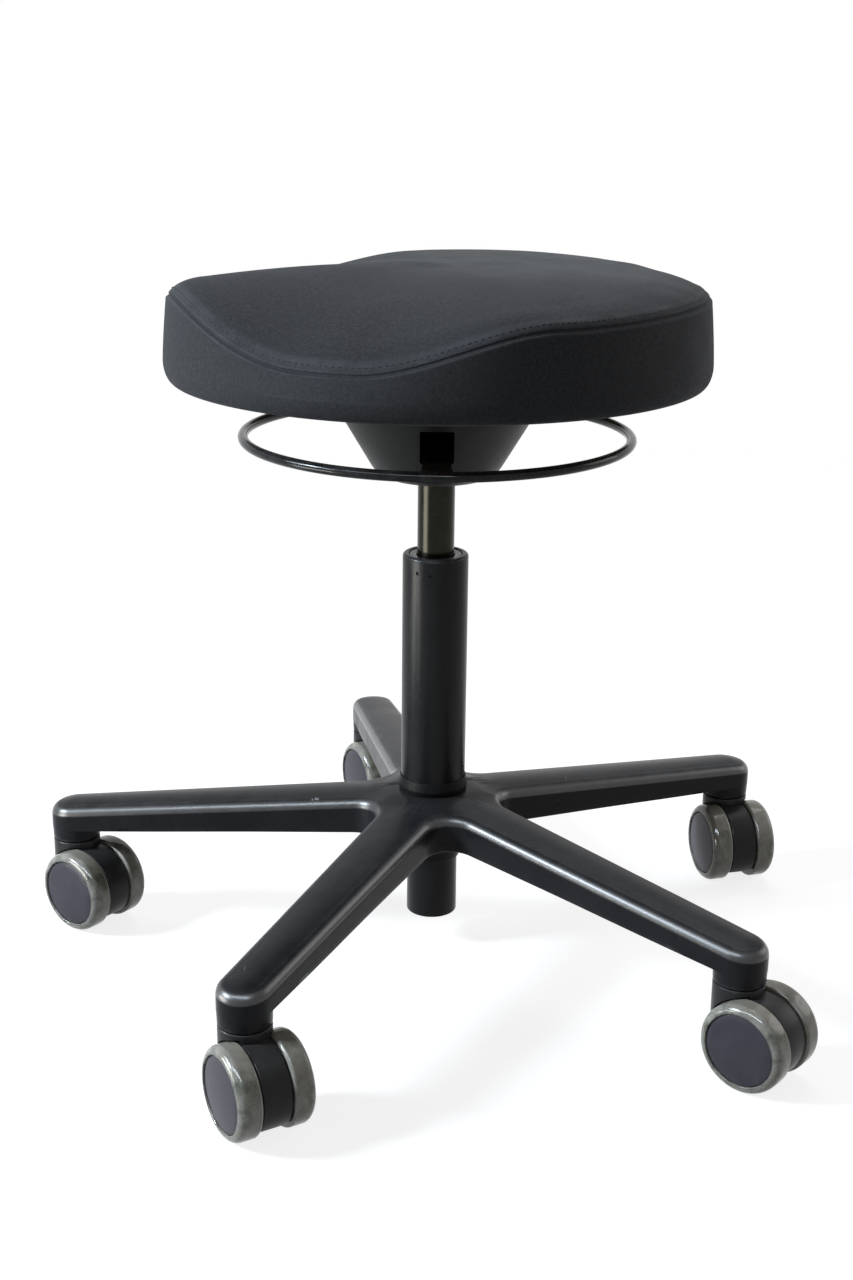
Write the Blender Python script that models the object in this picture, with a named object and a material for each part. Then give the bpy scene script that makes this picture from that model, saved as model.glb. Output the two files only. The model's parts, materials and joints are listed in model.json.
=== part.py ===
"""A work stool: a saddle seat on a gas spring, a five-leg base and twin-wheel castors.

Lengths are metres and angles degrees. The origin is on the floor, on the column's axis, with +Z up.
"""

import math

import bmesh
import bpy
from mathutils import Matrix, Vector

# Running and press-fit gaps, and the distance under which two corners are one
GAP = 0.0003
MERGE = 0.000001
WHEEL_RUNNING_GAP = 0.0008
EDGE_BREAK = 0.0007
EDGE_ROUND = 0.0015

# Five-leg base
LEG_COUNT = 5
FIRST_LEG_ANGLE = 173.3
CASTOR_CIRCLE_RADIUS = 0.2918
LEG_TIP_RADIUS = 0.0190
LEG_SIDE_OFFSET = 0.0240
LEG_FILLET_RADIUS = 0.021
LEG_EDGE_RADIUS = 0.0055
LEG_CROWN = 0.0015
LEG_TIP_DEPTH = 0.0195
LEG_UNDERSIDE_RISE = 0.0177
LEG_ROOT_RADIUS = 0.045
LEG_TOP_RISE = 0.0258
HUB_DEPTH = 0.0325
HUB_FLAT_MARGIN = 0.002
LEG_WALL = 0.0050
LEG_POCKET_START = 0.072
LEG_POCKET_COUNT = 3
LEG_RIB = 0.0045
BOSS_STEP = 0.0005
BOSS_HEIGHT = 0.0101
BOSS_CLEARANCE = 0.0052

# Column tube, its bush and its collar
TUBE_SHOULDER_WIDTH = 0.0036
TUBE_HEIGHT = 0.1898
TUBE_WALL = 0.0025
TUBE_TOP_ROLL = 0.0018
TUBE_LIP = 0.0023
TUBE_MOUTH_DEPTH = 0.0050
STUB_CLEARANCE = 0.0032
STUB_WALL = 0.0025
STUB_LENGTH = 0.0728
TAPER_RISE = 0.0017
TUBE_FLOOR_THICKNESS = 0.004
TUBE_FLOOR_RECESS = 0.0044
COLLAR_THICKNESS = 0.0013
COLLAR_HEIGHT = 0.0105
BUSH_LENGTH = 0.090
BUSH_RECESS = 0.0008

# Gas spring
SPRING_RADIUS = 0.014
SPRING_TAPER_DROP = 0.0008
SPRING_SHOWN = 0.1097
SPRING_TAPER_LENGTH = 0.052
SPRING_WALL = 0.002
SPRING_GLAND_LENGTH = 0.018
SPRING_HEAD_LENGTH = 0.045
ROD_RADIUS = 0.005
ROD_TAIL_RADIUS = 0.004
PISTON_LENGTH = 0.012
LIFT_DOWN = 0.050
LIFT_UP = 0.085
BEARING_CLEARANCE = 0.0022
BEARING_WASHER_THICKNESS = 0.002
BEARING_CAGE_THICKNESS = 0.004
BUFFER_STEP = 0.0025
BUFFER_HEIGHT = 0.012
CLIP_RADIUS = 0.0085
CLIP_THICKNESS = 0.0012
CLIP_GROOVE_RADIUS = 0.003
PIN_RADIUS = 0.004
PIN_LENGTH = 0.016
PIN_TRAVEL = 0.0021

# Seat plate with its spring socket, and the cone cover over them
SOCKET_WALL = 0.005
PLATE_MARGIN = 0.010
PLATE_THICKNESS = 0.004
CHEEK_ROOM = 0.004
CHEEK_THICKNESS = 0.004
CHEEK_FRONT = 0.036
CHEEK_BACK = 0.020
CONE_DROP = 0.051
CONE_BOTTOM_RADIUS = 0.0432
CONE_SHOULDER_HEIGHT = 0.0475
CONE_RIM_STEP = 0.007
CONE_RIM_RADIUS = 0.0785
CONE_RIM_HEIGHT = 0.016
CONE_WALL = 0.0025
CONE_FILLET = 0.004
SLOT_CLEARANCE = 0.00225
SLOT_SILL = 0.021
SLOT_HEIGHT = 0.0205
SCREW_COUNT = 4
SCREW_EDGE_DISTANCE = 0.011
SCREW_RADIUS = 0.003
SCREW_HEAD_RADIUS = 0.0055
SCREW_HEAD_HEIGHT = 0.0035
SCREW_LENGTH = 0.013

# Release ring and its lever arm, which is drawn pointing along -Y
ARM_DIRECTION = 270.0
RING_ANGLE = 270.0
RING_RADIUS = 0.1434
RING_WIRE_RADIUS = 0.00375
ARM_WIDTH = 0.020
ARM_THICKNESS = 0.005
ARM_BEND_START = 0.050
PIVOT_DISTANCE = 0.026
PIVOT_PIN_RADIUS = 0.0025
PIVOT_BARREL_RADIUS = 0.0055
ARM_TAIL = 0.010

# Saddle seat
NOSE_ANGLE = 197.0
SEAT_RISE = 0.0245
SEAT_BOTTOM_TUCK = 0.0065
SEAT_WAIST_RADIUS = 0.1995
SEAT_WAIST_HEIGHT = 0.014
SEAM_LEAN = 0.0035
SEAM_TUCK = 0.0022
SEAT_CROWN_HEIGHT = 0.0825
SEAM_NOSE_HEIGHT = 0.0647
SEAM_SCOOP_HEIGHT = 0.0310
SEAM_SIDE_HEIGHT = 0.0600
SEAM_REAR_HEIGHT = 0.0627
NOSE_SPREAD = 46.0
SCOOP_END = 56.0
SIDE_START = 96.0
REAR_START = 140.0
TOP_EDGE_ROLL = 0.0070
TOP_EDGE_WIDTH = 0.023
COVER_THICKNESS = 0.0014
HEM_WIDTH = 0.026
BOARD_THICKNESS = 0.012

# Twin-wheel castors: the trail of each, as an angle in plan
CASTOR_TRAIL_ANGLES = (-37.8, -58.5, -40.4, -74.8, -62.0)
CASTOR_TRAIL = 0.0187
WHEEL_RADIUS = 0.0325
WHEEL_WIDTH = 0.0165
TYRE_THICKNESS = 0.0060
TYRE_OUTER_ROUND = 0.0058
TYRE_INNER_ROUND = 0.0022
WHEEL_CAP_CROWN = 0.0018
WHEEL_CAP_INSET = 0.0008
HOUSING_WIDTH = 0.0212
HOUSING_SET_BACK = 0.0020
HOUSING_FLOOR_CLEARANCE = 0.012
NECK_STEP = 0.0002
HOUSING_NECK_DEPTH = 0.026
SWIVEL_GAP = 0.0009
WHEEL_CLEARANCE = 0.0006
AXLE_RADIUS = 0.004
AXLE_REACH = 0.0114
STEM_RADIUS = 0.0055
STEM_GRIP = 0.020
STEM_DEPTH = 0.024

# Facets
ROUND = 22
SMALL_ROUND = 12
SEAT_ROUND = 48
WHEEL_ROUND = 16
HOUSING_ROUND = 16
RING_ROUND = 44
CONE_ROUND = 26
WIRE_ROUND = 8
ARC_STEPS = 3
EDGE_ARC_STEPS = 2
LEG_FILLET_STEPS = 4
LEG_SIDE_STEPS = 3
LEG_TIP_STEPS = 4
LEG_CROWN_SHARES = (0.0, 0.3, 0.65, 1.0)
PANEL_SHARES = (0.0, 0.22, 0.44, 0.64, 0.80)
PANEL_EDGE_SHARES = (1.0, 0.5, 0.2, 0.0)
WHEEL_CAP_SHARE = 0.55
SHARP_ANGLE = 35.0

# Sizes that follow from those above: heights are stacked up from the floor
BOSS_RADIUS = LEG_TIP_RADIUS - BOSS_STEP
BOSS_BOTTOM_Z = 2 * WHEEL_RADIUS + BOSS_CLEARANCE
LEG_TIP_UNDERSIDE_Z = BOSS_BOTTOM_Z + BOSS_HEIGHT
LEG_TIP_TOP_Z = LEG_TIP_UNDERSIDE_Z + LEG_TIP_DEPTH
LEG_ROOT_TOP_Z = LEG_TIP_TOP_Z + LEG_TOP_RISE
LEG_SIDE_TILT = math.asin((LEG_SIDE_OFFSET - LEG_TIP_RADIUS) / CASTOR_CIRCLE_RADIUS)
HUB_UNDERSIDE_Z = LEG_TIP_UNDERSIDE_Z + LEG_UNDERSIDE_RISE
HUB_TOP_Z = HUB_UNDERSIDE_Z + HUB_DEPTH
STUB_BORE = SPRING_RADIUS + STUB_CLEARANCE
STUB_RADIUS = STUB_BORE + STUB_WALL
STUB_BOTTOM_Z = HUB_UNDERSIDE_Z - STUB_LENGTH
TAPER_TOP_RADIUS = STUB_RADIUS + TAPER_RISE
HUB_BORE_TOP = TAPER_TOP_RADIUS + GAP
HUB_BORE_BOTTOM = STUB_RADIUS + GAP
TUBE_RADIUS = TAPER_TOP_RADIUS + TUBE_SHOULDER_WIDTH
TUBE_BORE = TUBE_RADIUS - TUBE_WALL
TUBE_MOUTH_RADIUS = TUBE_BORE - TUBE_LIP
TUBE_SHOULDER_Z = HUB_TOP_Z + GAP
TUBE_TOP_Z = HUB_TOP_Z + TUBE_HEIGHT
TUBE_FLOOR_Z = STUB_BOTTOM_Z + TUBE_FLOOR_RECESS + TUBE_FLOOR_THICKNESS
HUB_FLAT_RADIUS = TUBE_RADIUS + HUB_FLAT_MARGIN
BEARING_RADIUS = STUB_BORE - BEARING_CLEARANCE
BUFFER_RADIUS = BEARING_RADIUS - BUFFER_STEP
LOWER_WASHER_Z = TUBE_FLOOR_Z + GAP
CAGE_Z = LOWER_WASHER_Z + BEARING_WASHER_THICKNESS + GAP
UPPER_WASHER_Z = CAGE_Z + BEARING_CAGE_THICKNESS + GAP
BUFFER_Z = UPPER_WASHER_Z + BEARING_WASHER_THICKNESS + GAP
BUFFER_TOP_Z = BUFFER_Z + BUFFER_HEIGHT
SPRING_TOP_Z = TUBE_TOP_Z + SPRING_SHOWN
SPRING_TOP_RADIUS = SPRING_RADIUS - SPRING_TAPER_DROP
SPRING_BORE_RADIUS = SPRING_RADIUS - SPRING_WALL
SPRING_BOTTOM_Z = BUFFER_TOP_Z + LIFT_DOWN + GAP
PISTON_Z = SPRING_BOTTOM_Z + SPRING_GLAND_LENGTH + LIFT_UP + 2 * GAP
PIN_TOP_Z = SPRING_TOP_Z + 2 * PIN_TRAVEL
SEAT_BOTTOM_Z = SPRING_TOP_Z + SEAT_RISE
SEAT_BOTTOM_RADIUS = SEAT_WAIST_RADIUS - SEAT_BOTTOM_TUCK
BOARD_Z = SEAT_BOTTOM_Z + COVER_THICKNESS + GAP
BOARD_TOP_Z = BOARD_Z + BOARD_THICKNESS
PLATE_TOP_Z = BOARD_Z - GAP
PLATE_Z = PLATE_TOP_Z - PLATE_THICKNESS
PLATE_RADIUS = CONE_RIM_RADIUS - CONE_WALL - PLATE_MARGIN
SCREW_CIRCLE_RADIUS = PLATE_RADIUS - SCREW_EDGE_DISTANCE
SOCKET_RADIUS = SPRING_RADIUS + SOCKET_WALL
CHEEK_INNER = SOCKET_RADIUS + CHEEK_ROOM
CHEEK_OUTER = CHEEK_INNER + CHEEK_THICKNESS
CONE_BOTTOM_Z = SPRING_TOP_Z - CONE_DROP
CONE_SHOULDER_Z = CONE_BOTTOM_Z + CONE_SHOULDER_HEIGHT
CONE_SHOULDER_RADIUS = CONE_RIM_RADIUS - CONE_RIM_STEP
SLOT_WIDTH = ARM_WIDTH + 2 * SLOT_CLEARANCE
SLOT_BOTTOM_Z = CONE_BOTTOM_Z + SLOT_SILL
SLOT_TOP_Z = SLOT_BOTTOM_Z + SLOT_HEIGHT
RING_Z = (SLOT_BOTTOM_Z + SLOT_TOP_Z) / 2
ARM_Z = PIN_TOP_Z + GAP + ARM_THICKNESS / 2
SEAM_RADIUS = SEAT_WAIST_RADIUS - SEAM_LEAN
SEAT_CROWN_Z = SEAT_BOTTOM_Z + SEAT_CROWN_HEIGHT
SEAM_NOSE_Z = SEAT_BOTTOM_Z + SEAM_NOSE_HEIGHT
SEAM_SCOOP_Z = SEAT_BOTTOM_Z + SEAM_SCOOP_HEIGHT
SEAM_SIDE_Z = SEAT_BOTTOM_Z + SEAM_SIDE_HEIGHT
SEAM_REAR_Z = SEAT_BOTTOM_Z + SEAM_REAR_HEIGHT
WHEEL_INNER_FACE = HOUSING_WIDTH / 2 + WHEEL_RUNNING_GAP
WHEEL_CORE_RADIUS = WHEEL_RADIUS - TYRE_THICKNESS - GAP
HOUSING_RADIUS = WHEEL_RADIUS - HOUSING_SET_BACK
HOUSING_NECK_RADIUS = BOSS_RADIUS + NECK_STEP
HOUSING_TOP_Z = BOSS_BOTTOM_Z - SWIVEL_GAP
AXLE_LENGTH = HOUSING_WIDTH + 2 * AXLE_REACH
TOP_EDGE_RADIUS = SEAM_RADIUS - SEAM_TUCK
PANEL_RINGS = [TOP_EDGE_RADIUS * share for share in PANEL_SHARES] + [
    TOP_EDGE_RADIUS - TOP_EDGE_WIDTH * share for share in PANEL_EDGE_SHARES]


def finish(name, colour, roughness, metallic=0.0):
    """A plain material with one colour."""
    material = bpy.data.materials.new(name)
    material.use_nodes = True
    shader = material.node_tree.nodes["Principled BSDF"]
    shader.inputs["Base Color"].default_value = (*colour, 1.0)
    shader.inputs["Roughness"].default_value = roughness
    shader.inputs["Metallic"].default_value = metallic
    return material


def polar(radius, degrees):
    return Vector((radius * math.cos(math.radians(degrees)), radius * math.sin(math.radians(degrees)), 0))


def around(radius, sides):
    """The corner radius of a regular outline that is drawn around a circle."""
    return radius / math.cos(math.pi / sides)


def ease(value):
    """A smooth step from 0 to 1."""
    value = min(max(value, 0.0), 1.0)
    return value * value * (3 - 2 * value)


def add_object(name, mesh, material, parent=None, location=(0, 0, 0), turn=0.0):
    """A named object, turned by so many degrees about its upright axis."""
    made = bpy.data.objects.new(name, mesh)
    bpy.context.scene.collection.objects.link(made)
    made.location = location
    made.rotation_euler = (0, 0, math.radians(turn))
    made.parent = parent
    if material and not mesh.materials:
        mesh.materials.append(material)
    return made


def add_empty(name, location, turn=0.0, parent=None):
    """A joint's frame, which carries what moves on that joint."""
    made = bpy.data.objects.new(name, None)
    bpy.context.scene.collection.objects.link(made)
    made.location = location
    made.rotation_euler = (0, 0, math.radians(turn))
    made.parent = parent
    return made


def to_mesh(name, made):
    """A mesh from a bmesh, with its faces pointing out and its round faces shaded smooth."""
    bmesh.ops.recalc_face_normals(made, faces=made.faces[:])
    mesh = bpy.data.meshes.new(name)
    made.to_mesh(mesh)
    made.free()
    mesh.shade_smooth()
    mesh.set_sharp_from_angle(angle=math.radians(SHARP_ANGLE))
    return mesh


def rounded(corners, steps=ARC_STEPS):
    """A closed outline from corners (x, y, radius), with each radius drawn as an arc."""
    points = []
    for index, (x, y, radius) in enumerate(corners):
        here = Vector((x, y))
        back = (Vector(corners[index - 1][:2]) - here).normalized()
        ahead = (Vector(corners[(index + 1) % len(corners)][:2]) - here).normalized()
        if radius <= 0:
            points.append(here)
            continue
        half = back.angle(ahead) / 2
        centre = here + (back + ahead).normalized() * radius / math.sin(half)
        start = here + back * radius / math.tan(half) - centre
        sweep = start.angle_signed(here + ahead * radius / math.tan(half) - centre)
        for step in range(steps + 1):
            points.append(centre + Matrix.Rotation(-sweep * step / steps, 2) @ start)
    return points


def swept(name, profile_at, segments, half_step=False):
    """A mesh swept about Z from closed profiles of (radius, z) points, one for each angle in degrees."""
    made = bmesh.new()
    angles = [360 * (step + 0.5 * half_step) / segments for step in range(segments)]
    columns = []
    for angle in angles:
        column = []
        for radius, z in profile_at(angle):
            spot = polar(radius, angle)
            column.append(made.verts.new((spot.x, spot.y, z)))
        columns.append(column)
    for near, far in zip(columns, columns[1:] + columns[:1]):
        for index in range(len(near)):
            after = (index + 1) % len(near)
            on_axis = near[index].co.xy.length + near[after].co.xy.length < MERGE
            if not on_axis:
                made.faces.new((near[index], near[after], far[after], far[index]))
    bmesh.ops.remove_doubles(made, verts=made.verts[:], dist=MERGE)
    return to_mesh(name, made)


def turned(name, profile, segments=ROUND, half_step=False):
    """A mesh turned about Z from one closed profile."""
    return swept(name, lambda angle: profile, segments, half_step)


def prism(name, outline, low, high):
    """A mesh from an outline in plan, between two heights."""
    made = bmesh.new()
    bottom = [made.verts.new((x, y, low)) for x, y in outline]
    top = [made.verts.new((x, y, high)) for x, y in outline]
    made.faces.new(bottom)
    made.faces.new(top)
    for index in range(len(outline)):
        after = (index + 1) % len(outline)
        made.faces.new((bottom[index], bottom[after], top[after], top[index]))
    return to_mesh(name, made)


def rectangle(x0, x1, y0, y1, radius=0.0):
    return rounded([(x0, y0, radius), (x1, y0, radius), (x1, y1, radius), (x0, y1, radius)], EDGE_ARC_STEPS)


def rod_profile(radius, low, high, edge=0.0):
    """The profile of a plain round bar."""
    return rounded([(0, high, 0), (radius, high, edge), (radius, low, edge), (0, low, 0)], 1)


def ring_profile(inner, outer, low, high, edge=0.0):
    """The profile of a washer or sleeve."""
    corners = [(outer, high, edge), (outer, low, edge), (inner, low, 0), (inner, high, 0)]
    return rounded(corners, EDGE_ARC_STEPS)


def shape(part, tool_mesh, operation, place=None):
    """Cuts a helper shape, placed in the part's own frame, out of the part, or joins it on."""
    helper = add_object(part.name + "_tool", tool_mesh, None)
    bpy.context.view_layer.update()
    helper.matrix_world = part.matrix_world @ (place or Matrix())
    modifier = part.modifiers.new(operation.lower(), "BOOLEAN")
    modifier.operation = operation
    modifier.solver = "EXACT"
    modifier.object = helper
    bpy.context.view_layer.update()
    settled = bpy.data.meshes.new_from_object(part.evaluated_get(bpy.context.evaluated_depsgraph_get()))
    part.modifiers.clear()
    part.data = settled
    bpy.data.objects.remove(helper)


def along_x(offset=(0, 0, 0)):
    """Lays a shape turned about Z on its side, along X."""
    return Matrix.Translation(offset) @ Matrix.Rotation(math.radians(90), 4, "Y")


def along_y(offset=(0, 0, 0)):
    """Lays a shape turned about Z on its side, along Y."""
    return Matrix.Translation(offset) @ Matrix.Rotation(math.radians(-90), 4, "X")


def leg_top(spot):
    """The height of a leg's crown over a point in plan: a straight fall, and a swell up to the hub's top."""
    fall = (LEG_ROOT_TOP_Z - LEG_TIP_TOP_Z) / (CASTOR_CIRCLE_RADIUS - LEG_ROOT_RADIUS)
    line = LEG_ROOT_TOP_Z - fall * (spot.x - LEG_ROOT_RADIUS)
    swell = 1 - ease((spot.length - HUB_FLAT_RADIUS) / (LEG_ROOT_RADIUS - HUB_FLAT_RADIUS))
    return line + (HUB_TOP_Z - line) * swell


def leg_underside(along):
    """The height of a leg's underside at a distance along it."""
    fall = (HUB_UNDERSIDE_Z - LEG_TIP_UNDERSIDE_Z) / (CASTOR_CIRCLE_RADIUS - HUB_FLAT_RADIUS)
    return HUB_UNDERSIDE_Z - fall * max(0.0, along - HUB_FLAT_RADIUS)


def half_leg():
    """Half a leg's outline in plan, from the middle of the web between two legs to the leg's tip.

    Each entry is an outline point and the place on the leg's spine that it is joined to: an angle
    round the hub's bore, and how far that place lies from the bore (0) to the castor's axis (1).
    """
    tilt = LEG_SIDE_TILT
    half_sector = math.pi / LEG_COUNT
    normal = Vector((math.sin(tilt), math.cos(tilt)))
    centre_distance = (LEG_FILLET_RADIUS + LEG_SIDE_OFFSET) / math.sin(half_sector + tilt)
    centre = centre_distance * Vector((math.cos(half_sector), math.sin(half_sector)))
    sweep = math.pi / 2 - half_sector - tilt
    entries = []
    for step in range(LEG_FILLET_STEPS + 1):
        angle = math.pi + half_sector + sweep * step / LEG_FILLET_STEPS
        spot = centre + LEG_FILLET_RADIUS * Vector((math.cos(angle), math.sin(angle)))
        entries.append((spot, half_sector * (1 - step / LEG_FILLET_STEPS), 0.0))
    start = entries[-1][0]
    tip = Vector((CASTOR_CIRCLE_RADIUS, 0))
    end = tip + LEG_TIP_RADIUS * normal
    for step in range(1, LEG_SIDE_STEPS + 1):
        share = step / LEG_SIDE_STEPS
        entries.append((start.lerp(end, share), 0.0, share))
    for step in range(1, LEG_TIP_STEPS + 1):
        angle = (math.pi / 2 - tilt) * (1 - step / LEG_TIP_STEPS)
        entries.append((tip + LEG_TIP_RADIUS * Vector((math.cos(angle), math.sin(angle))), 0.0, 1.0))
    return entries


def spine_point(bore, angle, share):
    """A point on the hub's bore, or on the line from there along the leg to the castor's axis."""
    if angle > 0:
        return bore * Vector((math.cos(angle), math.sin(angle)))
    return Vector((bore + (CASTOR_CIRCLE_RADIUS - bore) * share, 0))


def leg_section(edge, angle, share):
    """One section of a leg, from the crown out over its rounded edge, down its side and back under it."""
    spine = spine_point(HUB_BORE_TOP, angle, share)
    reach = (edge - spine).length
    section = []
    flat = 1 - LEG_EDGE_RADIUS / reach
    for share_out in LEG_CROWN_SHARES:
        spot = spine.lerp(edge, flat * share_out)
        section.append((spot, leg_top(spot) - LEG_CROWN * share_out ** 2))
    for step in range(1, ARC_STEPS + 1):
        lean = math.pi / 2 * step / ARC_STEPS
        spot = spine.lerp(edge, 1 - LEG_EDGE_RADIUS * (1 - math.sin(lean)) / reach)
        section.append((spot, leg_top(spot) - LEG_CROWN - LEG_EDGE_RADIUS * (1 - math.cos(lean))))
    section.append((edge, leg_underside(edge.x)))
    under = spine_point(HUB_BORE_BOTTOM, angle, share)
    section.append((under, leg_underside(under.x)))
    return section


def star_mesh():
    """The five legs and the hub as one skin, before its pockets and bosses."""
    made = bmesh.new()
    sections = [leg_section(*entry) for entry in half_leg()]
    bore_sections = [angle > 0 or share == 0 for edge, angle, share in half_leg()]
    for leg in range(LEG_COUNT):
        turn = Matrix.Rotation(math.radians(FIRST_LEG_ANGLE + 360 * leg / LEG_COUNT), 3, "Z")
        for side in (-1, 1):
            columns = []
            for section in sections:
                spots = [turn @ Vector((spot.x, side * spot.y, z)) for spot, z in section]
                columns.append([made.verts.new(spot) for spot in spots])
            for place, (near, far) in enumerate(zip(columns, columns[1:])):
                for index in range(len(near) - 1):
                    made.faces.new((near[index], near[index + 1], far[index + 1], far[index]))
                if bore_sections[place] and bore_sections[place + 1]:
                    made.faces.new((near[-1], near[0], far[0], far[-1]))
    bmesh.ops.remove_doubles(made, verts=made.verts[:], dist=MERGE)
    return to_mesh("base_star", made)


def wedge(made, x0, x1, half0, half1, low, high0, high1):
    """Adds a tapering block with a sloping top to a mesh, lying along X."""
    spots = []
    for x, half, high in ((x0, half0, high0), (x1, half1, high1)):
        for y in (-half, half):
            spots.append(made.verts.new((x, y, low)))
            spots.append(made.verts.new((x, y, high)))
    for face in ((0, 1, 3, 2), (4, 6, 7, 5), (0, 4, 5, 1), (2, 3, 7, 6), (0, 2, 6, 4), (1, 5, 7, 3)):
        made.faces.new([spots[index] for index in face])
    return spots


def leg_pockets():
    """The hollows under the legs, with ribs left standing between them."""
    made = bmesh.new()
    end = CASTOR_CIRCLE_RADIUS - BOSS_RADIUS - LEG_WALL
    length = (end - LEG_POCKET_START - LEG_RIB * (LEG_POCKET_COUNT - 1)) / LEG_POCKET_COUNT
    for leg in range(LEG_COUNT):
        turn = Matrix.Rotation(math.radians(FIRST_LEG_ANGLE + 360 * leg / LEG_COUNT), 3, "Z")
        for pocket in range(LEG_POCKET_COUNT):
            x0 = LEG_POCKET_START + pocket * (length + LEG_RIB)
            ends = (x0, x0 + length)
            halves = [LEG_SIDE_OFFSET - x * math.sin(LEG_SIDE_TILT) - LEG_WALL for x in ends]
            tops = [leg_top(Vector((x, 0))) - LEG_CROWN - LEG_EDGE_RADIUS - LEG_WALL / 2 for x in ends]
            spots = wedge(made, *ends, *halves, BOSS_BOTTOM_Z, *tops)
            bmesh.ops.rotate(made, verts=spots, matrix=turn)
    return to_mesh("pockets", made)


def at_each_leg(mesh):
    """One mesh holding a shape's copies at the five castor places."""
    made = bmesh.new()
    for leg in range(LEG_COUNT):
        copied = mesh.copy()
        copied.transform(Matrix.Translation(leg_tip(leg)))
        made.from_mesh(copied)
    return to_mesh("copies", made)


def leg_tip(leg):
    return polar(CASTOR_CIRCLE_RADIUS, FIRST_LEG_ANGLE + 360 * leg / LEG_COUNT)


def make_base(metal):
    """The star base, with a boss under each leg's tip that is bored for a castor's stem."""
    star = add_object("base_star", star_mesh(), metal)
    boss = rod_profile(BOSS_RADIUS, BOSS_BOTTOM_Z, LEG_TIP_UNDERSIDE_Z + LEG_WALL, EDGE_BREAK)
    shape(star, at_each_leg(turned("boss", boss)), "UNION")
    shape(star, leg_pockets(), "DIFFERENCE")
    bore = rod_profile(STEM_RADIUS + GAP, BOSS_BOTTOM_Z - LEG_WALL, BOSS_BOTTOM_Z + STEM_GRIP + GAP)
    shape(star, at_each_leg(turned("bore", bore, SMALL_ROUND)), "DIFFERENCE")


def make_column(steel, plastic):
    mouth_z = TUBE_TOP_Z - TUBE_MOUTH_DEPTH
    floor_low = STUB_BOTTOM_Z + TUBE_FLOOR_RECESS
    floor_bore = ROD_TAIL_RADIUS + 2 * GAP
    tube = rounded([
        (TUBE_RADIUS, TUBE_TOP_Z, TUBE_TOP_ROLL),
        (TUBE_RADIUS, TUBE_SHOULDER_Z, 0),
        (TAPER_TOP_RADIUS, TUBE_SHOULDER_Z, 0),
        (STUB_RADIUS, HUB_UNDERSIDE_Z, 0),
        (STUB_RADIUS, STUB_BOTTOM_Z, EDGE_ROUND),
        (STUB_BORE, STUB_BOTTOM_Z, 0),
        (STUB_BORE, floor_low, 0),
        (floor_bore, floor_low, 0),
        (floor_bore, TUBE_FLOOR_Z, 0),
        (STUB_BORE, TUBE_FLOOR_Z, 0),
        (STUB_BORE, HUB_TOP_Z, 0),
        (TUBE_BORE, HUB_TOP_Z + STUB_WALL, 0),
        (TUBE_BORE, mouth_z, 0),
        (TUBE_MOUTH_RADIUS, mouth_z, 0),
        (TUBE_MOUTH_RADIUS, TUBE_TOP_Z, EDGE_BREAK),
    ], EDGE_ARC_STEPS)
    add_object("column_tube", turned("column_tube", tube), steel)
    collar = ring_profile(TUBE_RADIUS + GAP, TUBE_RADIUS + GAP + COLLAR_THICKNESS,
                          HUB_TOP_Z + GAP, HUB_TOP_Z + GAP + COLLAR_HEIGHT, COLLAR_THICKNESS / 2)
    add_object("column_collar", turned("column_collar", collar), plastic)
    bush_bore = SPRING_RADIUS + GAP
    bush = rounded([
        (TUBE_MOUTH_RADIUS - GAP, TUBE_TOP_Z - BUSH_RECESS, EDGE_BREAK),
        (TUBE_MOUTH_RADIUS - GAP, mouth_z - GAP, 0),
        (TUBE_BORE - GAP, mouth_z - GAP, 0),
        (TUBE_BORE - GAP, TUBE_TOP_Z - BUSH_LENGTH, 0),
        (bush_bore, TUBE_TOP_Z - BUSH_LENGTH, 0),
        (bush_bore, TUBE_TOP_Z - BUSH_RECESS, EDGE_ROUND),
    ], EDGE_ARC_STEPS)
    add_object("guide_bush", turned("guide_bush", bush), plastic)


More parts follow.
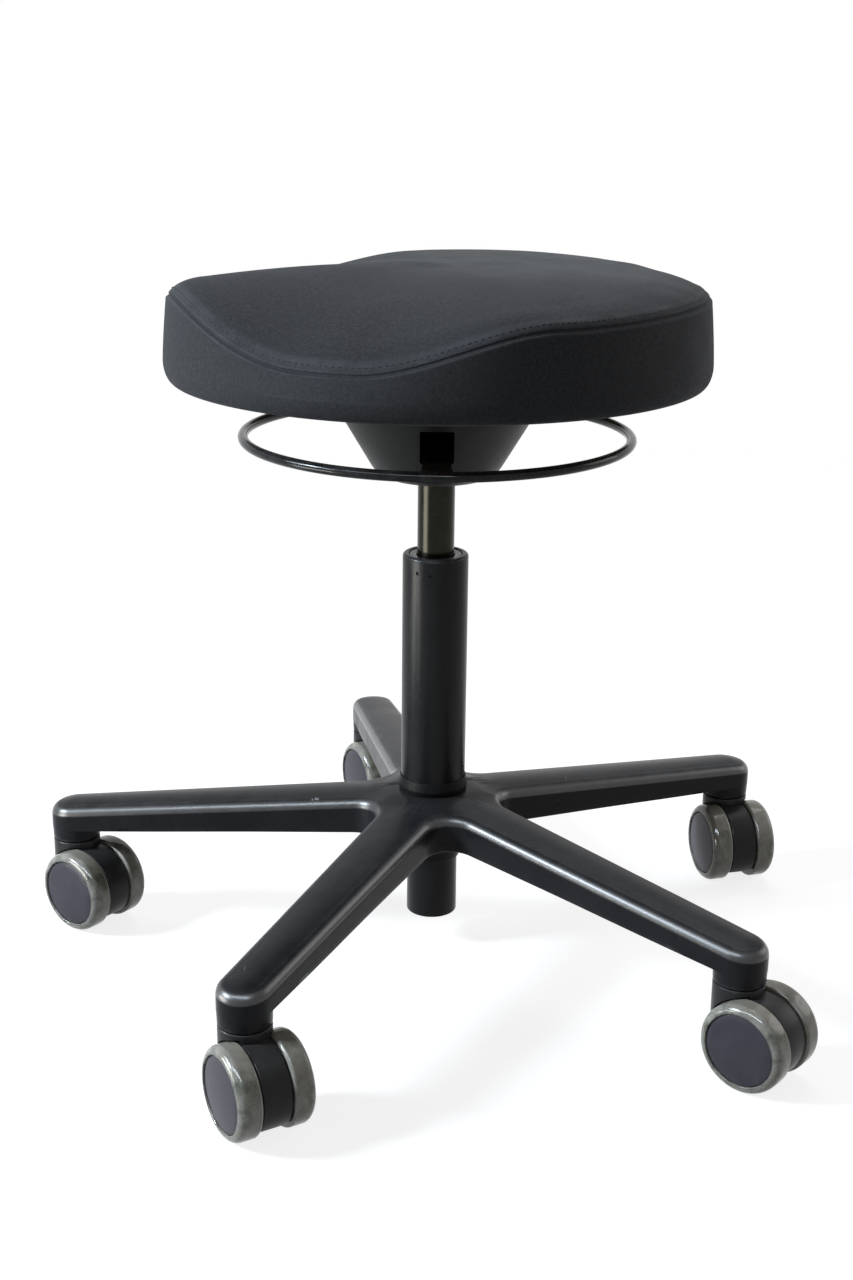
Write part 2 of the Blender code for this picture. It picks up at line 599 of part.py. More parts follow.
def make_spring(chrome, steel, rubber, swivel, seat):
    """The gas spring: its rod stands on a thrust bearing in the column; its cylinder carries the seat."""
    tail_bore = ROD_TAIL_RADIUS + GAP
    washer = BEARING_WASHER_THICKNESS
    for name, low, height, carrier in (
            ("bearing_washer_lower", LOWER_WASHER_Z, washer, None),
            ("bearing_cage", CAGE_Z, BEARING_CAGE_THICKNESS, swivel),
            ("bearing_washer_upper", UPPER_WASHER_Z, washer, swivel)):
        profile = ring_profile(tail_bore, BEARING_RADIUS, low, low + height)
        add_object(name, turned(name, profile, SMALL_ROUND), steel, carrier)
    buffer = ring_profile(ROD_RADIUS + GAP, BUFFER_RADIUS, BUFFER_Z, BUFFER_TOP_Z, EDGE_ROUND)
    add_object("rubber_buffer", turned("rubber_buffer", buffer, SMALL_ROUND), rubber, swivel)
    clip_top = STUB_BOTTOM_Z + TUBE_FLOOR_RECESS - GAP
    clip = ring_profile(CLIP_GROOVE_RADIUS + GAP, CLIP_RADIUS, clip_top - CLIP_THICKNESS, clip_top)
    add_object("retaining_clip", turned("retaining_clip", clip, SMALL_ROUND), steel, swivel)
    rod_low = clip_top - CLIP_THICKNESS - GAP - ROD_TAIL_RADIUS / 2
    piston = SPRING_BORE_RADIUS - GAP
    rod = [
        Vector((0, PISTON_Z + PISTON_LENGTH)), Vector((piston, PISTON_Z + PISTON_LENGTH)),
        Vector((piston, PISTON_Z)), Vector((ROD_RADIUS, PISTON_Z)), Vector((ROD_RADIUS, BUFFER_Z)),
        Vector((ROD_TAIL_RADIUS, BUFFER_Z)), Vector((ROD_TAIL_RADIUS, clip_top + GAP)),
        Vector((CLIP_GROOVE_RADIUS, clip_top + GAP)),
        Vector((CLIP_GROOVE_RADIUS, clip_top - CLIP_THICKNESS - GAP)),
        Vector((ROD_TAIL_RADIUS, clip_top - CLIP_THICKNESS - GAP)), Vector((ROD_TAIL_RADIUS, rod_low)),
        Vector((0, rod_low)),
    ]
    add_object("piston_rod", turned("piston_rod", rod, SMALL_ROUND), chrome, swivel)
    pin_floor = PIN_TOP_Z - PIN_LENGTH - PIN_TRAVEL - GAP
    gland_bore = ROD_RADIUS + GAP
    gland_top = SPRING_BOTTOM_Z + SPRING_GLAND_LENGTH
    head_low = SPRING_TOP_Z - SPRING_HEAD_LENGTH
    cylinder = rounded([
        (SPRING_TOP_RADIUS, SPRING_TOP_Z, EDGE_BREAK),
        (SPRING_RADIUS, SPRING_TOP_Z - SPRING_TAPER_LENGTH, 0),
        (SPRING_RADIUS, SPRING_BOTTOM_Z, EDGE_ROUND),
        (gland_bore, SPRING_BOTTOM_Z, 0),
        (gland_bore, gland_top, 0),
        (SPRING_BORE_RADIUS, gland_top, 0),
        (SPRING_BORE_RADIUS, head_low, 0),
        (0, head_low, 0),
        (0, pin_floor, 0),
        (PIN_RADIUS + GAP, pin_floor, 0),
        (PIN_RADIUS + GAP, SPRING_TOP_Z, 0),
    ], EDGE_ARC_STEPS)
    add_object("gas_cylinder", turned("gas_cylinder", cylinder), chrome, seat)
    pin = rod_profile(PIN_RADIUS, PIN_TOP_Z - PIN_LENGTH, PIN_TOP_Z, EDGE_BREAK)
    add_object("release_pin", turned("release_pin", pin, SMALL_ROUND), steel, seat)


def make_seat_plate(steel, seat):
    """A steel plate under the board, with two cheeks that carry the spring's socket and the lever's pin."""
    plate_mesh = turned("seat_plate", rod_profile(PLATE_RADIUS, PLATE_Z, PLATE_TOP_Z, EDGE_BREAK))
    plate = add_object("seat_plate", plate_mesh, steel, seat)
    socket_low = CONE_BOTTOM_Z + CONE_WALL + GAP
    spread = 2 * GAP
    for side in (-1, 1):
        inner, outer = sorted((side * CHEEK_INNER, side * CHEEK_OUTER))
        cheek = prism("cheek", rectangle(inner, outer, -CHEEK_FRONT, CHEEK_BACK), socket_low + CONE_WALL,
                      PLATE_Z + PLATE_THICKNESS / 2)
        trim = rectangle(inner - CONE_WALL, outer + CONE_WALL, -CHEEK_FRONT - CONE_WALL, -CHEEK_BACK)
        shape(plate, cheek, "UNION")
        shape(plate, prism("trim", trim, CONE_BOTTOM_Z, SLOT_TOP_Z), "DIFFERENCE")
    web_reach = CHEEK_INNER + CHEEK_THICKNESS / 2
    web = rectangle(-web_reach, web_reach, -SOCKET_RADIUS / 2, SOCKET_RADIUS / 2)
    shape(plate, prism("web", web, socket_low + 2 * CONE_WALL, SPRING_TOP_Z - 2 * PIN_TRAVEL), "UNION")
    socket = rod_profile(SOCKET_RADIUS, socket_low, SPRING_TOP_Z - PIN_TRAVEL)
    shape(plate, turned("socket", socket), "UNION")
    taper_low = SPRING_TOP_Z - SPRING_TAPER_LENGTH
    bore = [
        Vector((0, SPRING_TOP_Z)), Vector((SPRING_TOP_RADIUS + spread, SPRING_TOP_Z)),
        Vector((SPRING_RADIUS + spread, taper_low)), Vector((0, taper_low)),
    ]
    shape(plate, turned("socket_bore", bore), "DIFFERENCE")
    pin_hole = rod_profile(PIVOT_PIN_RADIUS + GAP, -2 * CHEEK_OUTER, 2 * CHEEK_OUTER)
    pin_place = along_x((0, -PIVOT_DISTANCE, ARM_Z))
    shape(plate, turned("pin_hole", pin_hole, SMALL_ROUND), "DIFFERENCE", pin_place)
    for screw in range(SCREW_COUNT):
        hole = turned("hole", rod_profile(SCREW_RADIUS + GAP, PLATE_Z - GAP, BOARD_TOP_Z), SMALL_ROUND)
        shape(plate, hole, "DIFFERENCE", Matrix.Translation(screw_place(screw)))
    pivot = rod_profile(PIVOT_PIN_RADIUS, -CHEEK_OUTER, CHEEK_OUTER, EDGE_BREAK)
    pivot_mesh = turned("lever_pivot_pin", pivot, SMALL_ROUND)
    pivot_mesh.transform(pin_place)
    add_object("lever_pivot_pin", pivot_mesh, steel, seat)


def screw_place(screw):
    return polar(SCREW_CIRCLE_RADIUS, 360 * (screw + 0.5) / SCREW_COUNT)


def make_screws(steel, seat):
    head_top = PLATE_Z - GAP
    profile = [
        Vector((0, head_top + SCREW_LENGTH)), Vector((SCREW_RADIUS, head_top + SCREW_LENGTH)),
        Vector((SCREW_RADIUS, head_top)), Vector((SCREW_HEAD_RADIUS, head_top)),
        Vector((SCREW_HEAD_RADIUS, head_top - SCREW_HEAD_HEIGHT)), Vector((0, head_top - SCREW_HEAD_HEIGHT)),
    ]
    mesh = turned("seat_screw", profile, SMALL_ROUND)
    for screw in range(SCREW_COUNT):
        add_object(f"seat_screw_{screw + 1}", mesh, steel, seat, screw_place(screw))


def make_cone(plastic, seat):
    """The funnel-shaped cover, with a slot at the front for the lever arm."""
    top = PLATE_TOP_Z
    slant = Vector((CONE_SHOULDER_RADIUS - CONE_BOTTOM_RADIUS, CONE_SHOULDER_Z - CONE_BOTTOM_Z)).normalized()
    inset = CONE_WALL / slant.y
    profile = rounded([
        (CONE_RIM_RADIUS, top, 0),
        (CONE_RIM_RADIUS, top - CONE_RIM_HEIGHT, CONE_FILLET),
        (CONE_SHOULDER_RADIUS, CONE_SHOULDER_Z, CONE_FILLET),
        (CONE_BOTTOM_RADIUS, CONE_BOTTOM_Z, CONE_FILLET),
        (SPRING_RADIUS + GAP, CONE_BOTTOM_Z, 0),
        (SPRING_RADIUS + GAP, CONE_BOTTOM_Z + CONE_WALL, 0),
        (CONE_BOTTOM_RADIUS - inset + CONE_WALL * slant.x / slant.y, CONE_BOTTOM_Z + CONE_WALL, 0),
        (CONE_SHOULDER_RADIUS - inset, CONE_SHOULDER_Z, 0),
        (CONE_RIM_RADIUS - CONE_WALL, top - CONE_RIM_HEIGHT + CONE_WALL, 0),
        (CONE_RIM_RADIUS - CONE_WALL, top, 0),
    ], EDGE_ARC_STEPS)
    cone = add_object("cone_cover", turned("cone_cover", profile, CONE_ROUND), plastic, seat)
    slot = rectangle(-SLOT_WIDTH / 2, SLOT_WIDTH / 2, -CONE_RIM_RADIUS, -CHEEK_FRONT)
    shape(cone, prism("slot", slot, SLOT_BOTTOM_Z, SLOT_TOP_Z), "DIFFERENCE")


def make_lever(wire, steel, lever):
    """The release ring and the cranked arm that carries it, as placed when the arm points along -Y."""
    pivot = Vector((0, -PIVOT_DISTANCE, ARM_Z))
    made = []
    for step in range(WIRE_ROUND):
        angle = 2 * math.pi * (step + 0.5) / WIRE_ROUND
        made.append(Vector((RING_RADIUS + RING_WIRE_RADIUS * math.cos(angle),
                            RING_Z - RING_WIRE_RADIUS * math.sin(angle))))
    ring_mesh = turned("release_ring", made, RING_ROUND)
    ring_mesh.transform(Matrix.Translation(-pivot))
    add_object("release_ring", ring_mesh, wire, lever)
    half = ARM_THICKNESS / 2
    inside = RING_RADIUS - RING_WIRE_RADIUS
    end = math.sqrt(inside ** 2 - (ARM_WIDTH / 2) ** 2) - GAP
    rise = PIVOT_DISTANCE + PIVOT_BARREL_RADIUS
    profile = [
        (-end, RING_Z - half), (-ARM_BEND_START, RING_Z - half), (-rise, ARM_Z - half),
        (ARM_TAIL, ARM_Z - half), (ARM_TAIL, ARM_Z + half), (-rise, ARM_Z + half),
        (-ARM_BEND_START - half, RING_Z + half), (-end, RING_Z + half),
    ]
    arm_mesh = prism("ring_arm", profile, -ARM_WIDTH / 2, ARM_WIDTH / 2)
    arm_mesh.transform(Matrix(((0, 0, 1, 0), (1, 0, 0, 0), (0, 1, 0, 0), (0, 0, 0, 1))))
    arm_mesh.transform(Matrix.Translation(-pivot))
    arm = add_object("ring_arm", arm_mesh, steel, lever)
    barrel = rod_profile(PIVOT_BARREL_RADIUS, -ARM_WIDTH / 2, ARM_WIDTH / 2)
    shape(arm, turned("barrel", barrel, SMALL_ROUND), "UNION", along_x())
    hole = rod_profile(PIVOT_PIN_RADIUS + GAP, -ARM_WIDTH, ARM_WIDTH)
    shape(arm, turned("hole", hole, SMALL_ROUND), "DIFFERENCE", along_x())


def seam_height(from_nose):
    """The height of the seat's seam at an angle from the nose: high there, low in the thigh scoops."""
    nose = (SEAM_NOSE_Z - SEAM_SCOOP_Z) * (1 - ease(from_nose / NOSE_SPREAD))
    side = (SEAM_SIDE_Z - SEAM_SCOOP_Z) * ease((from_nose - SCOOP_END) / (SIDE_START - SCOOP_END))
    rear = (SEAM_REAR_Z - SEAM_SIDE_Z) * ease((from_nose - SIDE_START) / (REAR_START - SIDE_START))
    return SEAM_SCOOP_Z + nose + side + rear


def from_nose(angle):
    """The angle between a direction and the nose, which points along X, from 0 to 180."""
    return abs((angle + 180) % 360 - 180)


def top_height(radius, angle):
    """The height of the seat's top: a crown that falls to the seam and rolls over at its edge."""
    seam = seam_height(from_nose(angle))
    edge = max(0.0, 1 - (TOP_EDGE_RADIUS - radius) / TOP_EDGE_WIDTH)
    fall = (SEAT_CROWN_Z - seam - TOP_EDGE_ROLL) * (radius / TOP_EDGE_RADIUS) ** 2
    return SEAT_CROWN_Z - fall - TOP_EDGE_ROLL * edge ** 2


def panel_profile(angle):
    """The top panel's section: out along its face, and back along its underside."""
    face = [Vector((radius, top_height(radius, angle))) for radius in PANEL_RINGS]
    back = [spot - Vector((0, COVER_THICKNESS)) for spot in reversed(face)]
    return face + back


def band_side(angle, inset):
    """The side band's run from the seam down to its hem, drawn in at the seam and at the bottom edge."""
    seam = seam_height(from_nose(angle)) - COVER_THICKNESS - GAP
    waist = SEAT_BOTTOM_Z + SEAT_WAIST_HEIGHT
    below = SEAT_BOTTOM_TUCK / 2
    run = [
        (TOP_EDGE_RADIUS - inset, seam),
        (SEAM_RADIUS - inset, seam - SEAM_TUCK),
        ((SEAM_RADIUS + SEAT_WAIST_RADIUS) / 2 - inset, (seam + waist) / 2),
        (SEAT_WAIST_RADIUS - inset, waist),
        (SEAT_WAIST_RADIUS - below / 2 - inset, SEAT_BOTTOM_Z + below + inset / 2),
        (SEAT_BOTTOM_RADIUS - inset / 2, SEAT_BOTTOM_Z + inset),
        (SEAT_BOTTOM_RADIUS - HEM_WIDTH, SEAT_BOTTOM_Z + inset),
    ]
    return [Vector(spot) for spot in run]


def band_profile(angle):
    return band_side(angle, 0.0) + band_side(angle, COVER_THICKNESS)[::-1]


def foam_profile(angle):
    """The foam's section, inside the cover and on the board."""
    low = BOARD_TOP_Z + GAP
    inset = COVER_THICKNESS + 2 * GAP
    seam = seam_height(from_nose(angle))
    shoulder = seam - 2 * COVER_THICKNESS - SEAM_TUCK
    top = [Vector((radius, top_height(radius, angle) - inset)) for radius in PANEL_RINGS[:-2:2]]
    side = [
        Vector((SEAM_RADIUS - 2 * inset, shoulder)),
        Vector(((SEAM_RADIUS + SEAT_WAIST_RADIUS) / 2 - 2 * inset, (shoulder + low) / 2)),
        Vector((SEAT_WAIST_RADIUS - 2 * inset, low)),
        Vector((0, low)),
    ]
    return top + side


def make_upholstery(cloth, foam, wood, seat):
    """The plywood board, the foam on it, and the cover's top panel and side band."""
    turn = NOSE_ANGLE - (RING_ANGLE - ARM_DIRECTION)
    board_radius = SEAT_BOTTOM_RADIUS - COVER_THICKNESS - GAP
    board_profile = rod_profile(board_radius, BOARD_Z, BOARD_TOP_Z, EDGE_ROUND)
    board = add_object("seat_board", turned("seat_board", board_profile, SEAT_ROUND), wood, seat)
    tip = PLATE_Z - GAP + SCREW_LENGTH + GAP
    for screw in range(SCREW_COUNT):
        hole = turned("hole", rod_profile(SCREW_RADIUS + GAP, PLATE_Z, tip), SMALL_ROUND)
        shape(board, hole, "DIFFERENCE", Matrix.Translation(screw_place(screw)))
    for name, profile_at, material in (
            ("seat_foam", foam_profile, foam),
            ("cover_top_panel", panel_profile, cloth),
            ("cover_side_band", band_profile, cloth)):
        add_object(name, swept(name, profile_at, SEAT_ROUND), material, seat, turn=turn)


def wheel_meshes():
    """A wheel's core and its tyre, turned about Z with the castor's middle plane at z = 0."""
    inner = WHEEL_INNER_FACE
    outer = inner + WHEEL_WIDTH
    cap_top = outer + WHEEL_CAP_CROWN - WHEEL_CAP_INSET
    bore = AXLE_RADIUS + GAP
    bore_end = AXLE_LENGTH / 2 + GAP
    core = rounded([
        (0, cap_top, 0),
        (WHEEL_CORE_RADIUS * WHEEL_CAP_SHARE, cap_top - WHEEL_CAP_CROWN * WHEEL_CAP_SHARE ** 2, 0),
        (WHEEL_CORE_RADIUS, cap_top - WHEEL_CAP_CROWN, EDGE_BREAK),
        (WHEEL_CORE_RADIUS, inner, 0),
        (bore, inner, 0),
        (bore, bore_end, 0),
        (0, bore_end, 0),
    ], 1)
    tread = around(WHEEL_RADIUS, WHEEL_ROUND)
    seat_radius = WHEEL_RADIUS - TYRE_THICKNESS
    tyre = rounded([
        (tread, outer, TYRE_OUTER_ROUND), (tread, inner, TYRE_INNER_ROUND),
        (seat_radius, inner, 0), (seat_radius, outer, 0),
    ], EDGE_ARC_STEPS)
    return (turned("castor_wheel", core, WHEEL_ROUND, True), turned("castor_tyre", tyre, WHEEL_ROUND, True))


def housing_mesh(material):
    """A castor's housing: a round neck over a drum, cut away round the wheels and above the floor."""
    low = HOUSING_TOP_Z - HOUSING_NECK_DEPTH
    neck = turned("castor_housing", rod_profile(HOUSING_NECK_RADIUS, low, HOUSING_TOP_Z), HOUSING_ROUND)
    housing = add_object("housing", neck, material)
    half = HOUSING_WIDTH / 2
    centre = (CASTOR_TRAIL, 0, WHEEL_RADIUS)
    room_radius = around(around(WHEEL_RADIUS, WHEEL_ROUND) + WHEEL_CLEARANCE, HOUSING_ROUND)
    drum = turned("drum", rod_profile(HOUSING_RADIUS, -half, half), HOUSING_ROUND, True)
    shape(housing, drum, "UNION", along_y(centre))
    under_drum = rectangle(CASTOR_TRAIL - WHEEL_RADIUS, CASTOR_TRAIL + WHEEL_RADIUS, -HOUSING_WIDTH, HOUSING_WIDTH)
    shape(housing, prism("under_drum", under_drum, -WHEEL_RADIUS, HOUSING_FLOOR_CLEARANCE), "DIFFERENCE")
    for side in (-1, 1):
        span = sorted((side * half, side * (half + 2 * HOUSING_NECK_RADIUS)))
        room = turned("room", rod_profile(room_radius, *span), HOUSING_ROUND)
        shape(housing, room, "DIFFERENCE", along_y(centre))
    axle_bore = turned("bore", rod_profile(AXLE_RADIUS + GAP, -AXLE_LENGTH, AXLE_LENGTH), SMALL_ROUND)
    shape(housing, axle_bore, "DIFFERENCE", along_y(centre))
    stem_low = HOUSING_TOP_Z - STEM_DEPTH - GAP
    stem_bore = turned("bore", rod_profile(STEM_RADIUS + GAP, stem_low, BOSS_BOTTOM_Z), SMALL_ROUND)
    shape(housing, stem_bore, "DIFFERENCE")
    mesh = housing.data
    bpy.data.objects.remove(housing)
    return mesh


def make_castors(steel, plastic, wheel_plastic, tyre_rubber):
    stem_low, stem_high = HOUSING_TOP_Z - STEM_DEPTH, BOSS_BOTTOM_Z + STEM_GRIP
    stem = turned("castor_stem", rod_profile(STEM_RADIUS, stem_low, stem_high, EDGE_BREAK), SMALL_ROUND)
    axle_bar = rod_profile(AXLE_RADIUS, -AXLE_LENGTH / 2, AXLE_LENGTH / 2, EDGE_BREAK)
    axle = turned("castor_axle", axle_bar, SMALL_ROUND)
    axle.transform(along_y())
    housing = housing_mesh(plastic)
    core, tyre = wheel_meshes()
    sides = {}
    for side, turn in (("left", -90), ("right", 90)):
        sides[side] = (core.copy(), tyre.copy())
        for mesh in sides[side]:
            mesh.transform(Matrix.Rotation(math.radians(turn), 4, "X"))
    for leg, trail_angle in enumerate(CASTOR_TRAIL_ANGLES):
        name = f"castor_{leg + 1}"
        place = leg_tip(leg)
        add_object(name + "_stem", stem, steel, None, place)
        swivel = add_empty(name + "_swivel", place, trail_angle)
        add_object(name + "_housing", housing, plastic, swivel)
        spin = add_empty(name + "_spin", (CASTOR_TRAIL, 0, WHEEL_RADIUS), 0, swivel)
        add_object(name + "_axle", axle, steel, spin)
        for side, (core_mesh, tyre_mesh) in sides.items():
            add_object(f"{name}_{side}_wheel", core_mesh, wheel_plastic, spin)
            add_object(f"{name}_{side}_tyre", tyre_mesh, tyre_rubber, spin)


def main():
    for old in list(bpy.data.objects):
        bpy.data.objects.remove(old)
    powder_coat = finish("black_powder_coat", (0.028, 0.028, 0.031), 0.42)
    painted_steel = finish("black_painted_steel", (0.022, 0.022, 0.024), 0.35)
    gloss_black = finish("gloss_black_wire", (0.012, 0.012, 0.014), 0.18)
    bright_steel = finish("zinc_steel", (0.55, 0.55, 0.56), 0.32, 1.0)
    gun_metal = finish("gun_metal_chrome", (0.20, 0.20, 0.19), 0.22, 1.0)
    black_plastic = finish("black_plastic", (0.020, 0.020, 0.022), 0.48)
    rubber = finish("black_rubber", (0.015, 0.015, 0.015), 0.75)
    wheel_plastic = finish("charcoal_wheel_plastic", (0.075, 0.070, 0.085), 0.40)
    tyre_rubber = finish("grey_soft_tyre", (0.30, 0.31, 0.29), 0.25)
    cloth = finish("black_seat_cloth", (0.030, 0.031, 0.034), 0.72)
    foam = finish("grey_foam", (0.35, 0.35, 0.34), 0.9)
    plywood = finish("birch_plywood", (0.45, 0.32, 0.18), 0.6)

    make_base(powder_coat)
    make_column(painted_steel, black_plastic)
    swivel = add_empty("seat_swivel", (0, 0, 0))
    seat = add_empty("seat_lift", (0, 0, 0), RING_ANGLE - ARM_DIRECTION, swivel)
    make_spring(gun_metal, bright_steel, rubber, swivel, seat)
    make_seat_plate(painted_steel, seat)
    make_screws(bright_steel, seat)
    make_cone(black_plastic, seat)
    lever = add_empty("ring_tilt", (0, -PIVOT_DISTANCE, ARM_Z), 0, seat)
    make_lever(gloss_black, painted_steel, lever)
    make_upholstery(cloth, foam, plywood, seat)
    make_castors(bright_steel, black_plastic, wheel_plastic, tyre_rubber)


main()
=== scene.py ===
import json
import math

import bmesh
import bpy
import numpy as np
from mathutils import Matrix, Vector

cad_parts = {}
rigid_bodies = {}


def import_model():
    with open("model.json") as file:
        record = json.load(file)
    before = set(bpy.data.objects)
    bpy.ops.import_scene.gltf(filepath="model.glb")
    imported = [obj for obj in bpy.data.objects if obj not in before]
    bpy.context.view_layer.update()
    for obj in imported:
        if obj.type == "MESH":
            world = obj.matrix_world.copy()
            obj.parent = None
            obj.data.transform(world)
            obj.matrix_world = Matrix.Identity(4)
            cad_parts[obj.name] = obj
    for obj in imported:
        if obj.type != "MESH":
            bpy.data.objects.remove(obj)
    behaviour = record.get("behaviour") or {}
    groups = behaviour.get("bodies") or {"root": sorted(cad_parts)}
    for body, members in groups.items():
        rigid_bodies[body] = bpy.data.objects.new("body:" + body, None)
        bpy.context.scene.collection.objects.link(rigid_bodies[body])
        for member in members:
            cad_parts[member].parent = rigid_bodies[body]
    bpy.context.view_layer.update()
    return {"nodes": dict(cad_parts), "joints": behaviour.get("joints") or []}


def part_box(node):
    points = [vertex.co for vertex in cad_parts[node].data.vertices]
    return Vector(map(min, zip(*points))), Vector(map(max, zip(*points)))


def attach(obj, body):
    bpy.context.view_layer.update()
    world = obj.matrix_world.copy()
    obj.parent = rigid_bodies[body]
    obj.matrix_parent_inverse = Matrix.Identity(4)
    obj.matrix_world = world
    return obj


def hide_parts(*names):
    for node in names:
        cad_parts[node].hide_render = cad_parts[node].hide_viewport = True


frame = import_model()
nodes = frame["nodes"]
print("frame loaded:", len(nodes), "solids")

# camera, solved from the leg tips, the column and the round seat
view = {"place": (0.0, -1.3318, 0.6768), "pitch": 17.744, "yaw": -0.267, "roll": 0.635,
        "focalPixels": 1821.5, "longSidePixels": 1280, "sensor": 36.0, "nearest": 0.05, "farthest": 60.0}


def makeCamera():
    pitch, yaw, roll = (math.radians(view[key]) for key in ("pitch", "yaw", "roll"))
    ahead = Vector((math.sin(yaw) * math.cos(pitch), math.cos(yaw) * math.cos(pitch), -math.sin(pitch)))
    level = Vector((math.cos(yaw), -math.sin(yaw), 0))
    above = level.cross(ahead)
    right = math.cos(roll) * level + math.sin(roll) * above
    up = math.cos(roll) * above - math.sin(roll) * level
    lens = bpy.data.cameras.new("photo_camera")
    lens.sensor_width = view["sensor"]
    lens.lens = view["focalPixels"] * view["sensor"] / view["longSidePixels"]
    lens.clip_start, lens.clip_end = view["nearest"], view["farthest"]
    made = bpy.data.objects.new("photo_camera", lens)
    bpy.context.scene.collection.objects.link(made)
    turn = Matrix((right, up, -ahead)).transposed().to_4x4()
    made.matrix_world = Matrix.Translation(view["place"]) @ turn
    bpy.context.scene.camera = made


# node helpers
def feed(tree, socket, value):  # links another node's socket, or sets a plain value
    if isinstance(value, bpy.types.NodeSocket):
        tree.links.new(value, socket)
    else:
        socket.default_value = value


def addNode(tree, kind, operation=None, **values):
    node = tree.nodes.new(kind)
    if operation:
        node.operation = operation
    for label, value in values.items():
        feed(tree, node.inputs[label.replace("_", " ")], value)
    return node


def addMath(tree, operation, first, second=0.0):
    node = addNode(tree, "ShaderNodeMath", operation)
    feed(tree, node.inputs[0], first)
    feed(tree, node.inputs[1], second)
    return node.outputs[0]


def addVectorMath(tree, operation, first, second=(0.0, 0.0, 0.0)):
    node = addNode(tree, "ShaderNodeVectorMath", operation)
    feed(tree, node.inputs[0], first)
    feed(tree, node.inputs[1], second)
    return node.outputs


def addRange(tree, value, none, full):  # smooth step from 0 at none to 1 at full
    node = addNode(tree, "ShaderNodeMapRange", Value=value, From_Min=none, From_Max=full)
    node.interpolation_type = "SMOOTHSTEP"
    return node.outputs["Result"]


def addMix(tree, share, first, second):
    node = tree.nodes.new("ShaderNodeMix")
    node.data_type = "RGBA"
    for label, value in (("Factor", share), ("A", first), ("B", second)):
        feed(tree, node.inputs[label], value)
    return node.outputs["Result"]


def addNoise(tree, place, scale, **values):
    return addNode(tree, "ShaderNodeTexNoise", Vector=place, Scale=scale, **values).outputs["Fac"]


def objectPlace(tree):
    return tree.nodes.new("ShaderNodeTexCoord").outputs["Object"]


def facingUp(tree):  # Z of the surface normal
    normal = tree.nodes.new("ShaderNodeNewGeometry").outputs["Normal"]
    return addNode(tree, "ShaderNodeSeparateXYZ", Vector=normal).outputs["Z"]


def shownRays(tree):  # 1 for rays that see the backdrop: from the camera, off gloss or through glass
    path = tree.nodes.new("ShaderNodeLightPath")
    seen = path.outputs["Is Camera Ray"]
    for label in ("Is Glossy Ray", "Is Transmission Ray"):
        seen = addMath(tree, "MAXIMUM", seen, path.outputs[label])
    return seen


# floor, world and lamps
studio = {
    "floorRadius": 14.0, "floorSides": 96, "floorDrop": 0.0004, "floorGlow": 0.82, "floorShade": 0.36,
    "floorBounce": 0.34, "clearFrom": 0.5, "clearTo": 2.2, "ambient": 0.14, "backdrop": 1.0,
    "lamps": (
        # name, place, aim, width, height, watts, colour, lights the surface or only shows in its gloss
        ("key_left", (-2.15, -0.48, 1.45), (0, 0, 0.33), 0.44, 0.44, 71, (0.78, 0.89, 1.0), True),
        ("window_card", (-1.32, -0.36, 0.95), (0, 0, 0.20), 0.80, 0.40, 26, (0.80, 0.90, 1.0), False),
        ("front_strip", (-0.35, -0.80, 1.08), (-0.05, 0, 0.12), 1.10, 0.22, 19, (0.80, 0.90, 1.0), False),
        ("low_card", (-0.78, -0.30, 0.15), (0, 0, 0.37), 0.40, 0.28, 6, (1.0, 0.99, 0.94), False),
        ("overhead", (0.35, 1.0, 2.15), (0, 0, 0.3), 1.3, 1.3, 13, (1.0, 1.0, 1.0), True),
        ("fill_right", (1.95, 0.60, 0.95), (0, 0, 0.3), 1.0, 1.0, 7, (1.0, 1.0, 1.0), True),
    ),
}


def mixShaders(tree, share, first, second):
    node = tree.nodes.new("ShaderNodeMixShader")
    for socket, source in zip(node.inputs, (share, first, second)):
        tree.links.new(source, socket)
    return node.outputs[0]


def makeFloor():
    disc = bmesh.new()
    bmesh.ops.create_circle(disc, cap_ends=True, segments=studio["floorSides"], radius=studio["floorRadius"])
    mesh = bpy.data.meshes.new("studio_floor")
    disc.to_mesh(mesh)
    disc.free()
    floor = bpy.data.objects.new("studio_floor", mesh)
    bpy.context.scene.collection.objects.link(floor)
    floor.location.z = -studio["floorDrop"]
    paint = bpy.data.materials.new("studio_white")
    paint.use_nodes = True
    tree = paint.node_tree
    tree.nodes.remove(tree.nodes["Principled BSDF"])
    glow = addNode(tree, "ShaderNodeEmission", Strength=studio["floorGlow"])
    shade = addNode(tree, "ShaderNodeBsdfDiffuse", Color=(studio["floorShade"],) * 3 + (1,))
    bounce = addNode(tree, "ShaderNodeBsdfDiffuse", Color=(studio["floorBounce"],) * 3 + (1,))
    clear = addNode(tree, "ShaderNodeEmission", Strength=studio["backdrop"])  # white, away from the stool
    near = tree.nodes.new("ShaderNodeAddShader")
    tree.links.new(glow.outputs[0], near.inputs[0])
    tree.links.new(shade.outputs[0], near.inputs[1])
    away = addVectorMath(tree, "LENGTH", objectPlace(tree))["Value"]
    reach = addNode(tree, "ShaderNodeMapRange", Value=away, From_Min=studio["clearFrom"],
                    From_Max=studio["clearTo"])
    seen = mixShaders(tree, reach.outputs["Result"], near.outputs[0], clear.outputs[0])
    surface = mixShaders(tree, shownRays(tree), bounce.outputs[0], seen)
    tree.links.new(surface, tree.nodes["Material Output"].inputs["Surface"])
    mesh.materials.append(paint)


def makeWorld():
    world = bpy.data.worlds.new("studio_world")
    bpy.context.scene.world = world
    world.use_nodes = True
    tree = world.node_tree
    level = addNode(tree, "ShaderNodeMapRange", Value=shownRays(tree), To_Min=studio["ambient"],
                    To_Max=studio["backdrop"])
    sky = tree.nodes["Background"]
    sky.inputs["Color"].default_value = (1, 1, 1, 1)
    tree.links.new(level.outputs["Result"], sky.inputs["Strength"])


